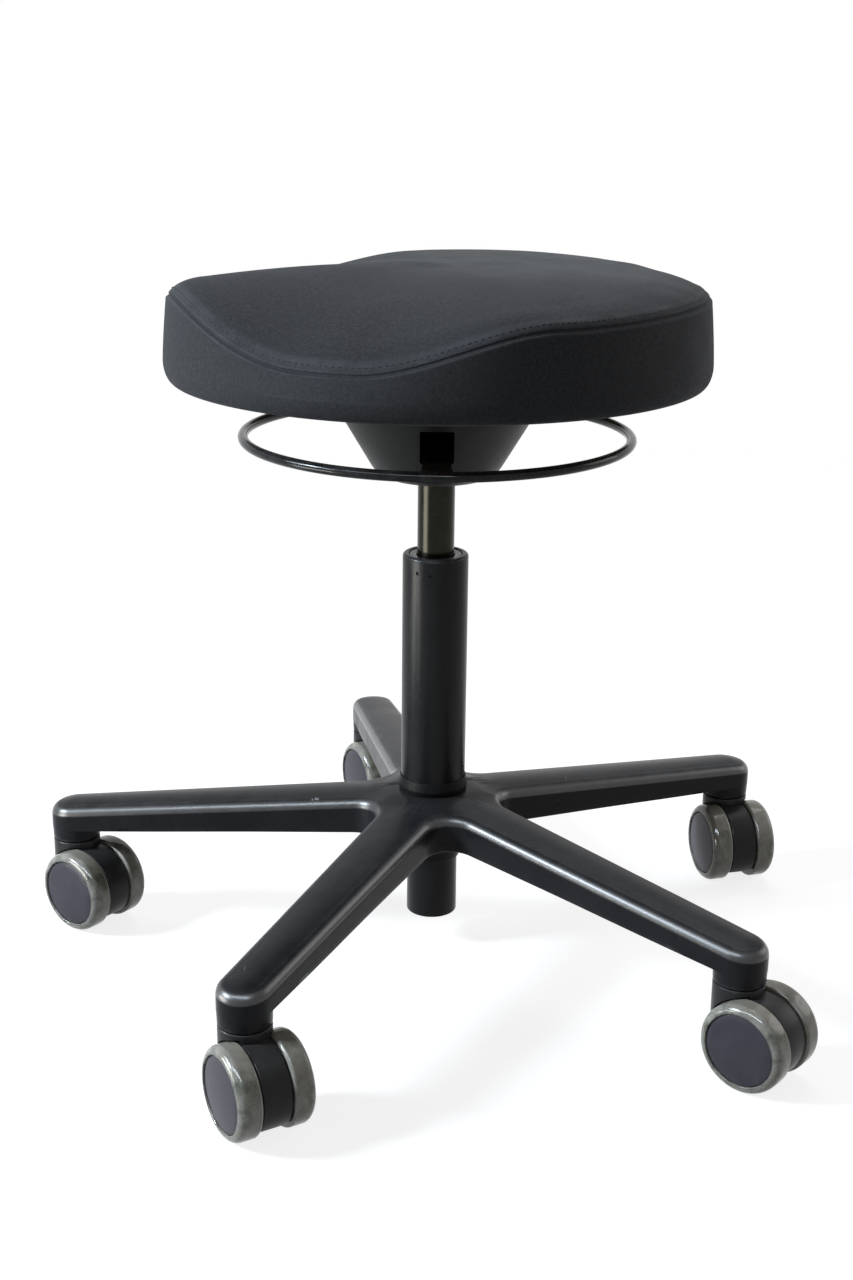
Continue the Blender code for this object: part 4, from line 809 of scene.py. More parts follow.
def atTips(mesh):  # one copy at each leg's tip
    made = bmesh.new()
    for turn in legTurns():
        copied = mesh.copy()
        tip = (star["castorCircle"] * math.cos(turn), star["castorCircle"] * math.sin(turn), 0)
        copied.transform(Matrix.Translation(tip))
        made.from_mesh(copied)
        bpy.data.meshes.remove(copied)
    return settleMesh(made, "tip_copies")


def pocketMesh():  # hollows under the legs, with ribs between them
    s = star
    made = bmesh.new()
    tilt = (s["sideOffset"] - s["tipRadius"]) / s["castorCircle"]
    end = s["castorCircle"] - s["bossRadius"] - s["wall"]
    length = (end - s["pocketStart"] - s["rib"] * (s["pockets"] - 1)) / s["pockets"]
    for turn in legTurns():
        for pocket in range(s["pockets"]):
            first = s["pocketStart"] + pocket * (length + s["rib"])
            spots = []
            for x in (first, first + length):
                half = s["sideOffset"] - x * tilt - s["wall"]
                top = legTop(Vector((x, 0))) - s["crown"] - s["edgeRadius"] - s["wall"] / 2
                for y in (-half, half):
                    spots += [made.verts.new((x, y, s["bossBottom"])), made.verts.new((x, y, top))]
            for face in ((0, 1, 3, 2), (4, 6, 7, 5), (0, 4, 5, 1), (2, 3, 7, 6), (0, 2, 6, 4), (1, 5, 7, 3)):
                made.faces.new([spots[index] for index in face])
            bmesh.ops.rotate(made, verts=spots, matrix=Matrix.Rotation(turn, 3, "Z"))
    bmesh.ops.bevel(made, geom=made.edges[:], offset=s["pocketEdge"], segments=2, affect="EDGES", profile=0.5)
    return settleMesh(made, "pockets")


def starSkin():  # ten half legs round the bore
    outline = legOutline()
    sections = [legSection(*entry) for entry in outline]
    onBore = [angle > 0 or share == 0 for edge, angle, share, inward in outline]
    made = bmesh.new()
    for turn in legTurns():
        spin = Matrix.Rotation(turn, 3, "Z")
        for side in (-1, 1):
            columns = [[made.verts.new(spin @ Vector((spot.x, side * spot.y, z))) for spot, z in section]
                       for section in sections]
            for place, (near, far) in enumerate(zip(columns, columns[1:])):
                for index in range(len(near) - 1):
                    made.faces.new((near[index], near[index + 1], far[index + 1], far[index]))
                if onBore[place] and onBore[place + 1]:
                    made.faces.new((near[-1], near[0], far[0], far[-1]))
    bmesh.ops.remove_doubles(made, verts=made.verts[:], dist=star["seamGap"])
    return settleMesh(made, "base_star_skin")


def makeStar():
    s = star
    bossTop = s["tipUnder"] + s["wall"]
    boss = roundCorners([
        (0, bossTop, 0), (s["bossTopRadius"], bossTop, 0),
        (s["bossRadius"] + s["bossLean"], s["bossBottom"] + s["bossFoot"], 0),
        (s["bossRadius"], s["bossBottom"], s["bossRound"]), (0, s["bossBottom"], 0)], s["bossSteps"])
    mesh = carve(starSkin(), atTips(latheMesh("boss", boss, s["bossSides"])), "UNION")
    skirtTop = s["hubUnder"] + s["skirtLap"]
    skirt = roundCorners([  # the hub runs down round the tube in a short flared skirt
        (s["boreBottom"], s["skirtLow"], 0), (s["skirtRadius"], s["skirtLow"], s["skirtLip"]),
        (s["skirtRadius"] + s["skirtLean"], s["skirtBend"], s["skirtSweep"]), (s["skirtOut"], skirtTop, 0),
        (s["boreBottom"], skirtTop, 0)], s["skirtSteps"])
    mesh = carve(mesh, latheMesh("hub_skirt", skirt, s["bossSides"]), "UNION")
    mesh = carve(mesh, pocketMesh(), "DIFFERENCE")
    bore = rodProfile(s["stemBore"], s["bossBottom"] - s["wall"], s["stemTop"])
    mesh = carve(mesh, atTips(latheMesh("stem_bore", bore, s["boreSides"])), "DIFFERENCE")
    addPiece("base_star_cast", resettle(mesh), "powderCoat", "base", ["base_star"])


makeStar()
print("base star cast")


# column tube with two punch marks that hold the bush
column = {
    "radius": 0.025, "top": 0.3203, "roll": 0.0024, "bore": 0.0225, "boreStep": 0.0025,
    "mouth": 0.0202, "mouthDepth": 0.005, "mouthRound": 0.0012, "shoulder": 0.1308, "shoulderRound": 0.0004,
    "taperTop": 0.0214, "stub": 0.0197, "stubBottom": 0.0252, "stubRound": 0.0014,
    "stubBore": 0.0172, "stubBoreRound": 0.0006, "floorLow": 0.0296, "floorHigh": 0.0336, "floorBore": 0.0046,
    "sides": 112, "cornerSteps": 6,
    "punches": ((-122.4, 0.3094, 0.0014), (-98.4, 0.3083, 0.0012)),  # angle, height, radius
    "punchDepth": 0.0014, "punchOver": 0.002, "punchRound": 0.0003, "punchSteps": 2, "punchSides": 20,
}


def makeColumn():
    c = column
    mouth = c["top"] - c["mouthDepth"]
    profile = roundCorners([
        (c["radius"], c["top"], c["roll"]), (c["radius"], c["shoulder"], c["shoulderRound"]),
        (c["taperTop"], c["shoulder"], 0), (c["stub"], star["hubUnder"], 0),
        (c["stub"], c["stubBottom"], c["stubRound"]), (c["stubBore"], c["stubBottom"], c["stubBoreRound"]),
        (c["stubBore"], c["floorLow"], 0), (c["floorBore"], c["floorLow"], 0),
        (c["floorBore"], c["floorHigh"], 0), (c["stubBore"], c["floorHigh"], 0),
        (c["stubBore"], c["shoulder"], 0), (c["bore"], c["shoulder"] + c["boreStep"], 0),
        (c["bore"], mouth, 0), (c["mouth"], mouth, 0), (c["mouth"], c["top"], c["mouthRound"])],
        c["cornerSteps"])
    mesh = latheMesh("column_tube_skin", profile, c["sides"])
    low, high = c["radius"] - c["punchDepth"], c["radius"] + c["punchOver"]
    for angle, height, radius in c["punches"]:
        profile = rodProfile(radius, low, high, c["punchRound"], c["punchSteps"])
        punch = latheMesh("punch", profile, c["punchSides"])
        turn = Matrix.Rotation(math.radians(angle), 4, "Z")
        mesh = carve(mesh, punch, "DIFFERENCE", turn @ sideways((0, 0, height), "X"))
    addPiece("column_tube_drawn", resettle(mesh), "columnPaint", "base", ["column_tube"])


# ring where the tube stands on the hub
collar = {
    "inner": 0.0253, "outer": 0.0266, "height": 0.0105, "lip": 0.0004, "lipRound": 0.0002, "bulge": 0.0003,
    "bulgeHeight": 0.0035, "bulgeRound": 0.004, "foot": 0.0002, "footRound": 0.0005,
}


def makeCollar():
    c = collar
    low = column["shoulder"]
    high = low + c["height"]
    profile = roundCorners([
        (c["inner"] + c["lip"], high, c["lipRound"]),
        (c["outer"] + c["bulge"], low + c["bulgeHeight"], c["bulgeRound"]),
        (c["outer"] - c["foot"], low, c["footRound"]), (c["inner"], low, 0), (c["inner"], high, 0)],
        column["cornerSteps"])
    mesh = latheMesh("column_collar_ring", profile, column["sides"])
    addPiece("column_collar_ring", mesh, "collarPlastic", "base", ["column_collar"])


# plastic bush in the tube's mouth
bush = {"bore": 0.0143, "recess": 0.0008, "length": 0.090, "gap": 0.0003, "rimRound": 0.0007,
        "endRound": 0.0006, "leadRound": 0.0016, "sides": 96}


def makeBush():
    b = bush
    face, end = column["top"] - b["recess"], column["top"] - b["length"]
    step = column["top"] - column["mouthDepth"] - b["gap"]
    neck, barrel = column["mouth"] - b["gap"], column["bore"] - b["gap"]
    profile = roundCorners([
        (neck, face, b["rimRound"]), (neck, step, 0), (barrel, step, 0), (barrel, end, b["endRound"]),
        (b["bore"], end, b["endRound"]), (b["bore"], face, b["leadRound"])], column["cornerSteps"])
    mesh = latheMesh("guide_bush_turned", profile, b["sides"])
    addPiece("guide_bush_turned", mesh, "bushPlastic", "base", ["guide_bush"])


# gas spring
spring = {
    "radius": 0.014, "topRadius": 0.0132, "top": 0.430, "topRound": 0.0008, "taper": 0.052,
    "taperRound": 0.002, "bottom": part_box("gas_cylinder")[0].z, "bottomRound": 0.0016, "bore": 0.012,
    "gland": 0.018, "head": 0.045, "rodBore": 0.0053, "rodRound": 0.0005,
    "pinBore": 0.0043, "pinFloor": 0.4157, "pinRound": 0.0003, "sides": 96, "cornerSteps": 5,
}


def makeSpring():
    s = spring
    gland, head = s["bottom"] + s["gland"], s["top"] - s["head"]
    profile = roundCorners([
        (s["topRadius"], s["top"], s["topRound"]), (s["radius"], s["top"] - s["taper"], s["taperRound"]),
        (s["radius"], s["bottom"], s["bottomRound"]), (s["rodBore"], s["bottom"], s["rodRound"]),
        (s["rodBore"], gland, 0), (s["bore"], gland, 0), (s["bore"], head, 0), (0, head, 0),
        (0, s["pinFloor"], 0), (s["pinBore"], s["pinFloor"], 0), (s["pinBore"], s["top"], s["pinRound"])],
        s["cornerSteps"])
    mesh = latheMesh("gas_cylinder_ground", profile, s["sides"])
    addPiece("gas_cylinder_ground", mesh, "gunMetal", "seat", ["gas_cylinder"])


makeColumn()
makeCollar()
makeBush()
makeSpring()
print("column and spring turned")


# cone cover under the seat
cone = {
    "bottom": 0.379, "bottomRadius": 0.0432, "bottomRound": 0.020, "shoulder": 0.4265,
    "shoulderRadius": 0.0715, "rimRadius": 0.0785, "rimLow": 0.4399, "top": 0.4559, "topRound": 0.0008,
    "wall": 0.0025, "fillet": 0.004, "innerRound": 0.002, "bore": 0.0143, "boreRound": 0.0006, "sides": 144,
    "slotWidth": 0.0245, "slotLow": 0.400, "slotHigh": 0.4265, "slotRound": 0.0015, "slotInner": 0.030,
    "cornerSteps": 6, "slotSteps": 4,
}


def makeCone():
    c = cone
    slant = Vector((c["shoulderRadius"] - c["bottomRadius"], c["shoulder"] - c["bottom"])).normalized()
    inset = c["wall"] / slant.y
    floor, inside = c["bottom"] + c["wall"], c["rimRadius"] - c["wall"]
    profile = roundCorners([
        (c["rimRadius"], c["top"], c["topRound"]), (c["rimRadius"], c["rimLow"], c["fillet"]),
        (c["shoulderRadius"], c["shoulder"], c["fillet"]), (c["bottomRadius"], c["bottom"], c["bottomRound"]),
        (c["bore"], c["bottom"], c["boreRound"]), (c["bore"], floor, 0),
        (c["bottomRadius"] - inset + c["wall"] * slant.x / slant.y, floor, c["bottomRound"] - c["wall"]),
        (c["shoulderRadius"] - inset, c["shoulder"], c["innerRound"]),
        (inside, c["rimLow"] + c["wall"], c["innerRound"]), (inside, c["top"], 0)], c["cornerSteps"])
    mesh = latheMesh("cone_cover_skin", profile, c["sides"])
    half = c["slotWidth"] / 2
    corners = ((-half, c["slotLow"]), (half, c["slotLow"]), (half, c["slotHigh"]), (-half, c["slotHigh"]))
    slot = roundCorners([(x, z, c["slotRound"]) for x, z in corners], c["slotSteps"])
    tool = prismMesh("slot", slot, -c["rimRadius"], -c["slotInner"])
    tool.transform(Matrix(((1, 0, 0, 0), (0, 0, 1, 0), (0, 1, 0, 0), (0, 0, 0, 1))))  # drawn in X and Z
    tool.flip_normals()
    mesh = resettle(carve(mesh, tool, "DIFFERENCE"))
    addPiece("cone_cover_moulded", mesh, "coverPlastic", "seat", ["cone_cover"])


# release ring, its arm and the weld between them
lever = {
    "ringRadius": 0.1434, "wire": 0.00375, "ringHeight": 0.41025, "ringSides": 192, "wireSides": 20,
    "wireSharp": 60.0, "armWidth": 0.020, "armThick": 0.005, "armHeight": 0.437, "armRound": 0.0008,
    "armGap": 0.0003, "bend": 0.050, "bendRound": 0.006, "pivot": 0.026, "barrel": 0.0055,
    "barrelRound": 0.0006, "barrelSides": 40, "pinBore": 0.0028, "pinSides": 32, "tail": 0.010,
    "cornerSteps": 5,
    "beads": 9, "beadRadius": 0.0022, "beadSpan": 0.92, "beadRise": 0.86, "beadLap": 0.0004, "beadVary": 0.08,
}


def ringInside(x):  # how far out the wire's inner side is along Y, at this X
    return math.sqrt((lever["ringRadius"] - lever["wire"]) ** 2 - x ** 2)


def makeRing():
    v = lever
    wire = [(v["ringRadius"] + v["wire"] * math.cos(turn), v["ringHeight"] - v["wire"] * math.sin(turn))
            for turn in np.linspace(0, 2 * math.pi, v["wireSides"], endpoint=False)]
    mesh = latheMesh("release_ring_wire", wire, v["ringSides"], v["wireSharp"])
    addPiece("release_ring_wire", mesh, "wireGloss", "ring_lever", ["release_ring"])


def makeArm():
    v = lever
    half, wide = v["armThick"] / 2, v["armWidth"] / 2
    low, high = v["ringHeight"], v["armHeight"]
    end, rise = ringInside(wide) - v["armGap"], v["pivot"] + v["barrel"]
    outline = roundCorners([
        (-end, low - half, v["armRound"]), (-v["bend"], low - half, v["bendRound"]),
        (-rise, high - half, v["bendRound"]), (v["tail"], high - half, v["armRound"]),
        (v["tail"], high + half, v["armRound"]), (-rise, high + half, v["bendRound"]),
        (-v["bend"] - half, low + half, v["bendRound"]), (-end, low + half, v["armRound"])],
        v["cornerSteps"])
    mesh = prismMesh("ring_arm_bar", outline, -wide, wide)
    mesh.transform(Matrix(((0, 0, 1, 0), (1, 0, 0, 0), (0, 1, 0, 0), (0, 0, 0, 1))))  # drawn in Y and Z
    place = sideways((0, -v["pivot"], high), "X")
    barrel = latheMesh("barrel", rodProfile(v["barrel"], -wide, wide, v["barrelRound"]), v["barrelSides"])
    mesh = carve(mesh, barrel, "UNION", place)
    hole = latheMesh("pin_hole", rodProfile(v["pinBore"], -v["armWidth"], v["armWidth"]), v["pinSides"])
    mesh = carve(mesh, hole, "DIFFERENCE", place)
    addPiece("ring_arm_bent", resettle(mesh), "wireGloss", "ring_lever", ["ring_arm"])


def makeWeld():  # beads above and below the arm's end
    v = lever
    made = bmesh.new()
    for side in (-1, 1):
        z = v["ringHeight"] + side * v["armThick"] / 2 * v["beadRise"]
        for step in range(v["beads"]):
            x = (step / (v["beads"] - 1) - 0.5) * v["armWidth"] * v["beadSpan"]
            radius = v["beadRadius"] * (1 + v["beadVary"] * (step % 3))
            bead = bmesh.ops.create_uvsphere(made, u_segments=12, v_segments=8, radius=radius)
            bmesh.ops.translate(made, verts=bead["verts"], vec=(x, -ringInside(x) - v["beadLap"], z))
    addPiece("ring_weld", settleMesh(made, "ring_weld"), "wireGloss", "ring_lever")


makeCone()
makeRing()
makeArm()
makeWeld()
print("cone cover and release ring made")


# saddle cushion: one crowned form with a seam round it and a hem under the board
cushion = {
    "nose": 197.0, "bottom": 0.4545, "bottomRadius": 0.1930, "waistRadius": 0.1995, "waist": 0.4685,
    "seamRadius": 0.1960, "tuck": 0.0022, "crownTop": 0.5370, "noseTop": 0.5192, "scoopLow": 0.4855,
    "sideTop": 0.5145, "rearTop": 0.5172,
    "noseSpread": 46.0, "scoopEnd": 56.0, "sideStart": 96.0, "rearStart": 138.0,  # degrees from the nose
    "roll": 0.0070, "rollWidth": 0.023, "puff": 0.0016, "puffNear": 0.003, "puffFar": 0.016,
    "grooveDepth": 0.0010, "bandBow": 0.25, "clothThick": 0.0014, "hem": 0.026,
    "boardRadius": 0.1916, "boardTop": 0.4686, "columns": 360, "sharpAngle": 50.0,
    "rings": (34, 18, 12, 26, 14, 5),  # rings on the top, roll, seam, band, lower edge and hem
    "seamAt": 2.0, "bandAt": 3.0,  # stations, which run 0 to 6 over those six parts
    "rubSheenFrom": 1.62, "rubSheenRise": 0.16, "rubSheenTo": 1.90, "rubSheenFall": 0.08,  # part of the roll painted paler, rubbing and a painted highlight, in stations
}


def seamHeight(degrees):
    c = cushion
    away = abs((degrees - c["nose"] + 180) % 360 - 180)
    nose = (c["noseTop"] - c["scoopLow"]) * (1 - ease(away / c["noseSpread"]))
    side = (c["sideTop"] - c["scoopLow"]) * ease((away - c["scoopEnd"]) / (c["sideStart"] - c["scoopEnd"]))
    rear = (c["rearTop"] - c["sideTop"]) * ease((away - c["sideStart"]) / (c["rearStart"] - c["sideStart"]))
    return c["scoopLow"] + nose + side + rear


def cushionSpot(degrees, station):  # radius and height
    c = cushion
    edge = c["seamRadius"] - c["tuck"]
    seam = seamHeight(degrees)
    part = min(int(station), len(c["rings"]) - 1)
    share = station - part
    if part <= 1:
        radius = share * (edge - c["rollWidth"]) if part == 0 else edge - c["rollWidth"] * (1 - share)
        inset = edge - radius
        roll = max(0.0, 1 - inset / c["rollWidth"])
        fall = (c["crownTop"] - seam - c["roll"]) * (radius / edge) ** 2
        near, far = math.exp(-inset / c["puffNear"]), math.exp(-(inset / c["puffFar"]) ** 2)
        puff = c["puff"] * (1 - near) * far  # the stuffing stands up just inside the seam
        return radius, c["crownTop"] - fall - c["roll"] * roll ** 2 + puff
    shoulder = seam - c["clothThick"] - c["tuck"]
    if part == 2:  # over the seam: down into the groove, then out to the band
        groove = c["grooveDepth"] * math.sin(math.pi * share) ** 2
        return edge + c["tuck"] * ease(share) - groove, seam + (shoulder - seam) * share
    if part == 3:
        bow = (1 + c["bandBow"]) * share - c["bandBow"] * share ** 3
        return (c["seamRadius"] + (c["waistRadius"] - c["seamRadius"]) * bow,
                shoulder + (c["waist"] - shoulder) * share)
    if part == 4:
        turn = math.pi / 2 * share
        return (c["bottomRadius"] + (c["waistRadius"] - c["bottomRadius"]) * math.cos(turn),
                c["waist"] - (c["waist"] - c["bottom"]) * math.sin(turn))
    return c["bottomRadius"] - c["hem"] * share, c["bottom"]


def stationList(counts):
    parts = [part + np.arange(1, count + 1) / count for part, count in enumerate(counts)]
    return np.concatenate([[0.0]] + parts)


def cushionGrid(stations, columns):  # positions as columns x stations x 3
    grid = np.zeros((columns, len(stations), 3))
    for column in range(columns):
        degrees = 360 * column / columns
        turn = math.radians(degrees)
        for row, station in enumerate(stations):
            radius, height = cushionSpot(degrees, station)
            grid[column, row] = radius * math.cos(turn), radius * math.sin(turn), height
    return grid


def gridFaces(columns, rows):
    return [(column * rows + row, column * rows + row + 1,
             (column + 1) % columns * rows + row + 1, (column + 1) % columns * rows + row)
            for column in range(columns) for row in range(rows - 1)]


# cloth under light pressure, held at the seam and the hem, gives the cover a small swell
swelling = {
    "columns": 112, "rings": (12, 7, 3, 9, 6, 3), "pressure": 4.0, "frames": 20, "quality": 6, "mass": 0.4,
    "stiffness": 30, "bending": 3, "hemFrom": 4.9, "middleTo": 0.5, "middleHold": 0.35, "crownFrom": 0.5,
    "topCap": 0.0026, "bandCap": 0.0004, "smoothings": 2,
}


def clothMesh(grid):  # open sheet, with each vertex's place in the grid as its order
    columns, rows = grid.shape[:2]
    made = bmesh.new()
    layer = made.verts.layers.int.new("order")
    spots = [made.verts.new(spot) for spot in grid.reshape(-1, 3)]
    for order, vert in enumerate(spots):
        vert[layer] = order
    for face in gridFaces(columns, rows):
        if face[0] % rows > 0:
            made.faces.new([spots[index] for index in face])
    made.faces.new([spots[column * rows + 1] for column in range(columns)])  # the crown's middle
    for column in range(columns):
        made.verts.remove(spots[column * rows])
    bmesh.ops.recalc_face_normals(made, faces=made.faces[:])
    crown = [face for face in made.faces if face.calc_center_median().z > swelling["crownFrom"]]
    if sum(face.normal.z * face.calc_area() for face in crown) < 0:
        bmesh.ops.reverse_faces(made, faces=made.faces[:])
    mesh = bpy.data.meshes.new("cover_cloth")
    made.to_mesh(mesh)
    made.free()
    return mesh


def addCloth(piece):
    w = swelling
    cloth = piece.modifiers.new("cloth", "CLOTH")
    cloth.settings.use_pressure = True
    cloth.settings.uniform_pressure_force = w["pressure"]
    cloth.settings.effector_weights.gravity = 0.0
    cloth.settings.vertex_group_mass = "held"
    cloth.settings.quality = w["quality"]
    cloth.settings.mass = w["mass"]
    cloth.settings.tension_stiffness = cloth.settings.compression_stiffness = w["stiffness"]
    cloth.settings.bending_stiffness = w["bending"]
    cloth.collision_settings.use_collision = False
    cloth.point_cache.frame_start, cloth.point_cache.frame_end = 1, w["frames"]


def puffCover():
    w, c = swelling, cushion
    stations = stationList(w["rings"])
    rows = len(stations)
    mesh = clothMesh(cushionGrid(stations, w["columns"]))
    piece = bpy.data.objects.new("cover_cloth", mesh)
    bpy.context.scene.collection.objects.link(piece)
    orders = np.zeros(len(mesh.vertices), int)
    mesh.attributes["order"].data.foreach_get("value", orders)
    held = piece.vertex_groups.new(name="held")
    for vert, order in enumerate(orders):
        station = stations[order % rows]
        fixed = c["seamAt"] <= station <= c["bandAt"] or station > w["hemFrom"]
        weight = 1.0 if fixed else w["middleHold"] * (station < w["middleTo"])
        held.add([vert], weight, "REPLACE")
    addCloth(piece)
    for step in range(1, w["frames"] + 1):
        bpy.context.scene.frame_set(step)
    shaped = piece.evaluated_get(bpy.context.evaluated_depsgraph_get()).to_mesh()
    after, before = np.zeros(len(orders) * 3), np.zeros(len(orders) * 3)
    shaped.vertices.foreach_get("co", after)
    mesh.vertices.foreach_get("co", before)
    swell = np.zeros((w["columns"] * rows, 3))
    swell[orders] = (after - before).reshape(-1, 3)
    bpy.context.scene.frame_set(1)
    bpy.data.objects.remove(piece)
    swell = swell.reshape(w["columns"], rows, 3)
    swell[:, 0] = swell[:, 1].mean(0)
    size = np.linalg.norm(swell, axis=2, keepdims=True)
    cap = np.where(stations < c["seamAt"], w["topCap"], w["bandCap"])[None, :, None]
    swell *= np.minimum(1.0, cap / np.maximum(size, 1e-9))
    for smoothing in range(w["smoothings"]):
        swell = (np.roll(swell, 1, 0) + 2 * swell + np.roll(swell, -1, 0)) / 4
    print("cover puffed, most swell %.1f mm" % (1000 * np.linalg.norm(swell, axis=2).max()))
    return stations, swell


def spreadSwell(simStations, swell, stations, columns):  # the simulated swell, read between its points
    simColumns = swell.shape[0]
    places = np.arange(columns) * simColumns / columns
    low = np.floor(places).astype(int)
    share = (places - low)[:, None, None]
    ringed = swell[low % simColumns] * (1 - share) + swell[(low + 1) % simColumns] * share
    spread = np.zeros((columns, len(stations), 3))
    for axis in range(3):
        for column in range(columns):
            spread[column, :, axis] = np.interp(stations, simStations, ringed[column, :, axis])
    return spread


def innerRings():  # back over the hem, up beside the board and in over it
    c = cushion
    hemTop = c["bottom"] + c["clothThick"]
    turns = np.linspace(0, 2 * math.pi, c["columns"], endpoint=False)
    rings = []
    for radius, height in ((c["bottomRadius"] - c["hem"], hemTop), (c["boardRadius"], hemTop),
                           (c["boardRadius"], c["boardTop"]), (c["boardRadius"] / 2, c["boardTop"]),
                           (0.0, c["boardTop"])):
        level = np.full(len(turns), height)
        rings.append(np.stack([radius * np.cos(turns), radius * np.sin(turns), level], 1))
    return np.stack(rings, 1)


def makeCushion():
    c = cushion
    stations = stationList(c["rings"])
    outer = cushionGrid(stations, c["columns"])
    outer += spreadSwell(*puffCover(), stations, c["columns"])
    grid = np.concatenate([outer, innerRings()], 1)
    rows = grid.shape[1]
    steps = np.linalg.norm(np.diff(grid, axis=1), axis=2)
    run = np.concatenate([np.zeros((c["columns"], 1)), np.cumsum(steps, 1)], 1)  # length down each column
    made = bmesh.new()
    warp = made.verts.layers.float_vector.new("cloth")
    # the edge value on the roll's band paints a highlight there as well as rubbing
    rubbed = made.verts.layers.float.new("edge")
    spots = [made.verts.new(spot) for spot in grid.reshape(-1, 3)]
    for index, vert in enumerate(spots):
        column, row = divmod(index, rows)
        if row < len(stations) and stations[row] <= c["seamAt"]:
            rise = ease((stations[row] - c["rubSheenFrom"]) / c["rubSheenRise"])
            vert[rubbed] = rise * (1 - ease((stations[row] - c["rubSheenTo"]) / c["rubSheenFall"]))
            vert[warp] = (vert.co.x, vert.co.y, 0)
        else:
            vert[warp] = (2 * math.pi * column / c["columns"] * c["waistRadius"], run[column, row], 0)
    for face in gridFaces(c["columns"], rows):
        if face[0] % rows not in (0, rows - 2):
            made.faces.new([spots[index] for index in face])
    for middle, beside in ((0, 1), (rows - 1, rows - 2)):  # close the two middles
        ring = [spots[column * rows + beside] for column in range(c["columns"])]
        for near, far in zip(ring, ring[1:] + ring[:1]):
            made.faces.new((spots[middle], near, far) if middle == 0 else (spots[middle], far, near))
    bmesh.ops.delete(made, geom=[vert for vert in made.verts if not vert.link_faces], context="VERTS")
    mesh = settleMesh(made, "seat_cushion", c["sharpAngle"])
    piece = addPiece("seat_cushion", mesh, "cloth", "seat",
                     ["cover_top_panel", "cover_side_band", "seat_foam"])
    return stations, outer


def threadRun(spots, sides, bow):  # closed rod through the spots, each with its own radius and bow outward
    verts, faces = [], []
    for index, (spot, along, out, radius) in enumerate(spots):
        across = along.cross(out).normalized()
        for side in range(sides):
            turn = 2 * math.pi * side / sides
            verts.append(spot + bow[index] * out + radius * (math.cos(turn) * across + math.sin(turn) * out))
    for index in range(len(spots) - 1):
        near, far = index * sides, (index + 1) * sides
        for side in range(sides):
            after = (side + 1) % sides
            faces.append((near + side, near + after, far + after, far + side))
    faces.append(tuple(range(sides))[::-1])
    faces.append(tuple((len(spots) - 1) * sides + side for side in range(sides)))
    return verts, faces


def joinRuns(name, runs):
    made = bmesh.new()
    for verts, faces in runs:
        spots = [made.verts.new(vert) for vert in verts]
        for face in faces:
            made.faces.new([spots[index] for index in face])
    return settleMesh(made, name, meshing["threadSharp"])


# topstitch just above the seam
topstitch = {"pitch": 0.0045, "length": 0.0031, "radius": 0.00042, "thinnest": 0.55, "inset": 0.0028,
             "bow": 0.00030, "sink": 0.00012, "steps": 6, "sides": 7, "readStep": 0.08, "upward": 0.05}


def ridgeReader(stations, grid, station):  # position, direction and normal on one ring of the cover
    def ringAt(place):
        return np.array([[np.interp(place, stations, line[:, axis]) for axis in range(3)] for line in grid])

    columns = grid.shape[0]
    ring, inner = ringAt(station), ringAt(station - topstitch["readStep"])
    length = np.concatenate([[0], np.cumsum(np.linalg.norm(np.roll(ring, -1, 0) - ring, axis=1))])

    def read(distance):
        place = np.interp(distance % length[-1], length, np.arange(columns + 1))
        low, share = int(place) % columns, place - int(place)
        high = (low + 1) % columns
        spot = Vector(ring[low] * (1 - share) + ring[high] * share)
        along = Vector(ring[high] - ring[low]).normalized()
        inward = Vector((inner[low] - ring[low]) * (1 - share) + (inner[high] - ring[high]) * share)
        out = along.cross(inward).normalized()
        return spot, along, out if out.dot(Vector((spot.x, spot.y, topstitch["upward"]))) > 0 else -out

    return read, length[-1]


def makeStitches(stations, grid):
    t = topstitch
    read, length = ridgeReader(stations, grid, cushion["seamAt"] - t["inset"] / cushion["rollWidth"])
    count = round(length / t["pitch"])
    arcs = [math.sin(math.pi * step / t["steps"]) for step in range(t["steps"] + 1)]
    bow = [t["bow"] * arc - t["sink"] for arc in arcs]
    runs = []
    for stitch in range(count):
        spots = []
        for step, arc in enumerate(arcs):
            spot, along, out = read(length * stitch / count + t["length"] * step / t["steps"])
            spots.append((spot, along, out, t["radius"] * (t["thinnest"] + (1 - t["thinnest"]) * arc)))
        runs.append(threadRun(spots, t["sides"], bow))
    addPiece("seat_topstitch", joinRuns("seat_topstitch", runs), "thread", "seat")
    print("stitches sewn:", count)


# wire staples that hold the hem to the board
staples = {
    "count": 44, "length": 0.010, "radius": 0.00045, "circle": 0.1775, "twist": 0.25, "sides": 8,
    "shares": (0.0, 0.06, 0.2, 0.5, 0.8, 0.94, 1.0),
    "bow": (-0.0006, 0.0001, 0.0003, 0.0003, 0.0003, 0.0001, -0.0006),  # how far out at each share
}


def makeStaples():
    t = staples
    down = Vector((0, 0, -1))
    runs = []
    for staple in range(t["count"]):
        turn = 2 * math.pi * (staple + 0.5) / t["count"]
        centre = Vector((t["circle"] * math.cos(turn), t["circle"] * math.sin(turn), cushion["bottom"]))
        along = Vector((-math.sin(turn + t["twist"]), math.cos(turn + t["twist"]), 0))
        spots = [(centre + along * (share - 0.5) * t["length"], along, down, t["radius"])
                 for share in t["shares"]]
        runs.append(threadRun(spots, t["sides"], t["bow"]))
    addPiece("hem_staples", joinRuns("hem_staples", runs), "stapleSteel", "seat")


coverStations, coverGrid = makeCushion()
makeStitches(coverStations, coverGrid)
makeStaples()
print("cushion upholstered")


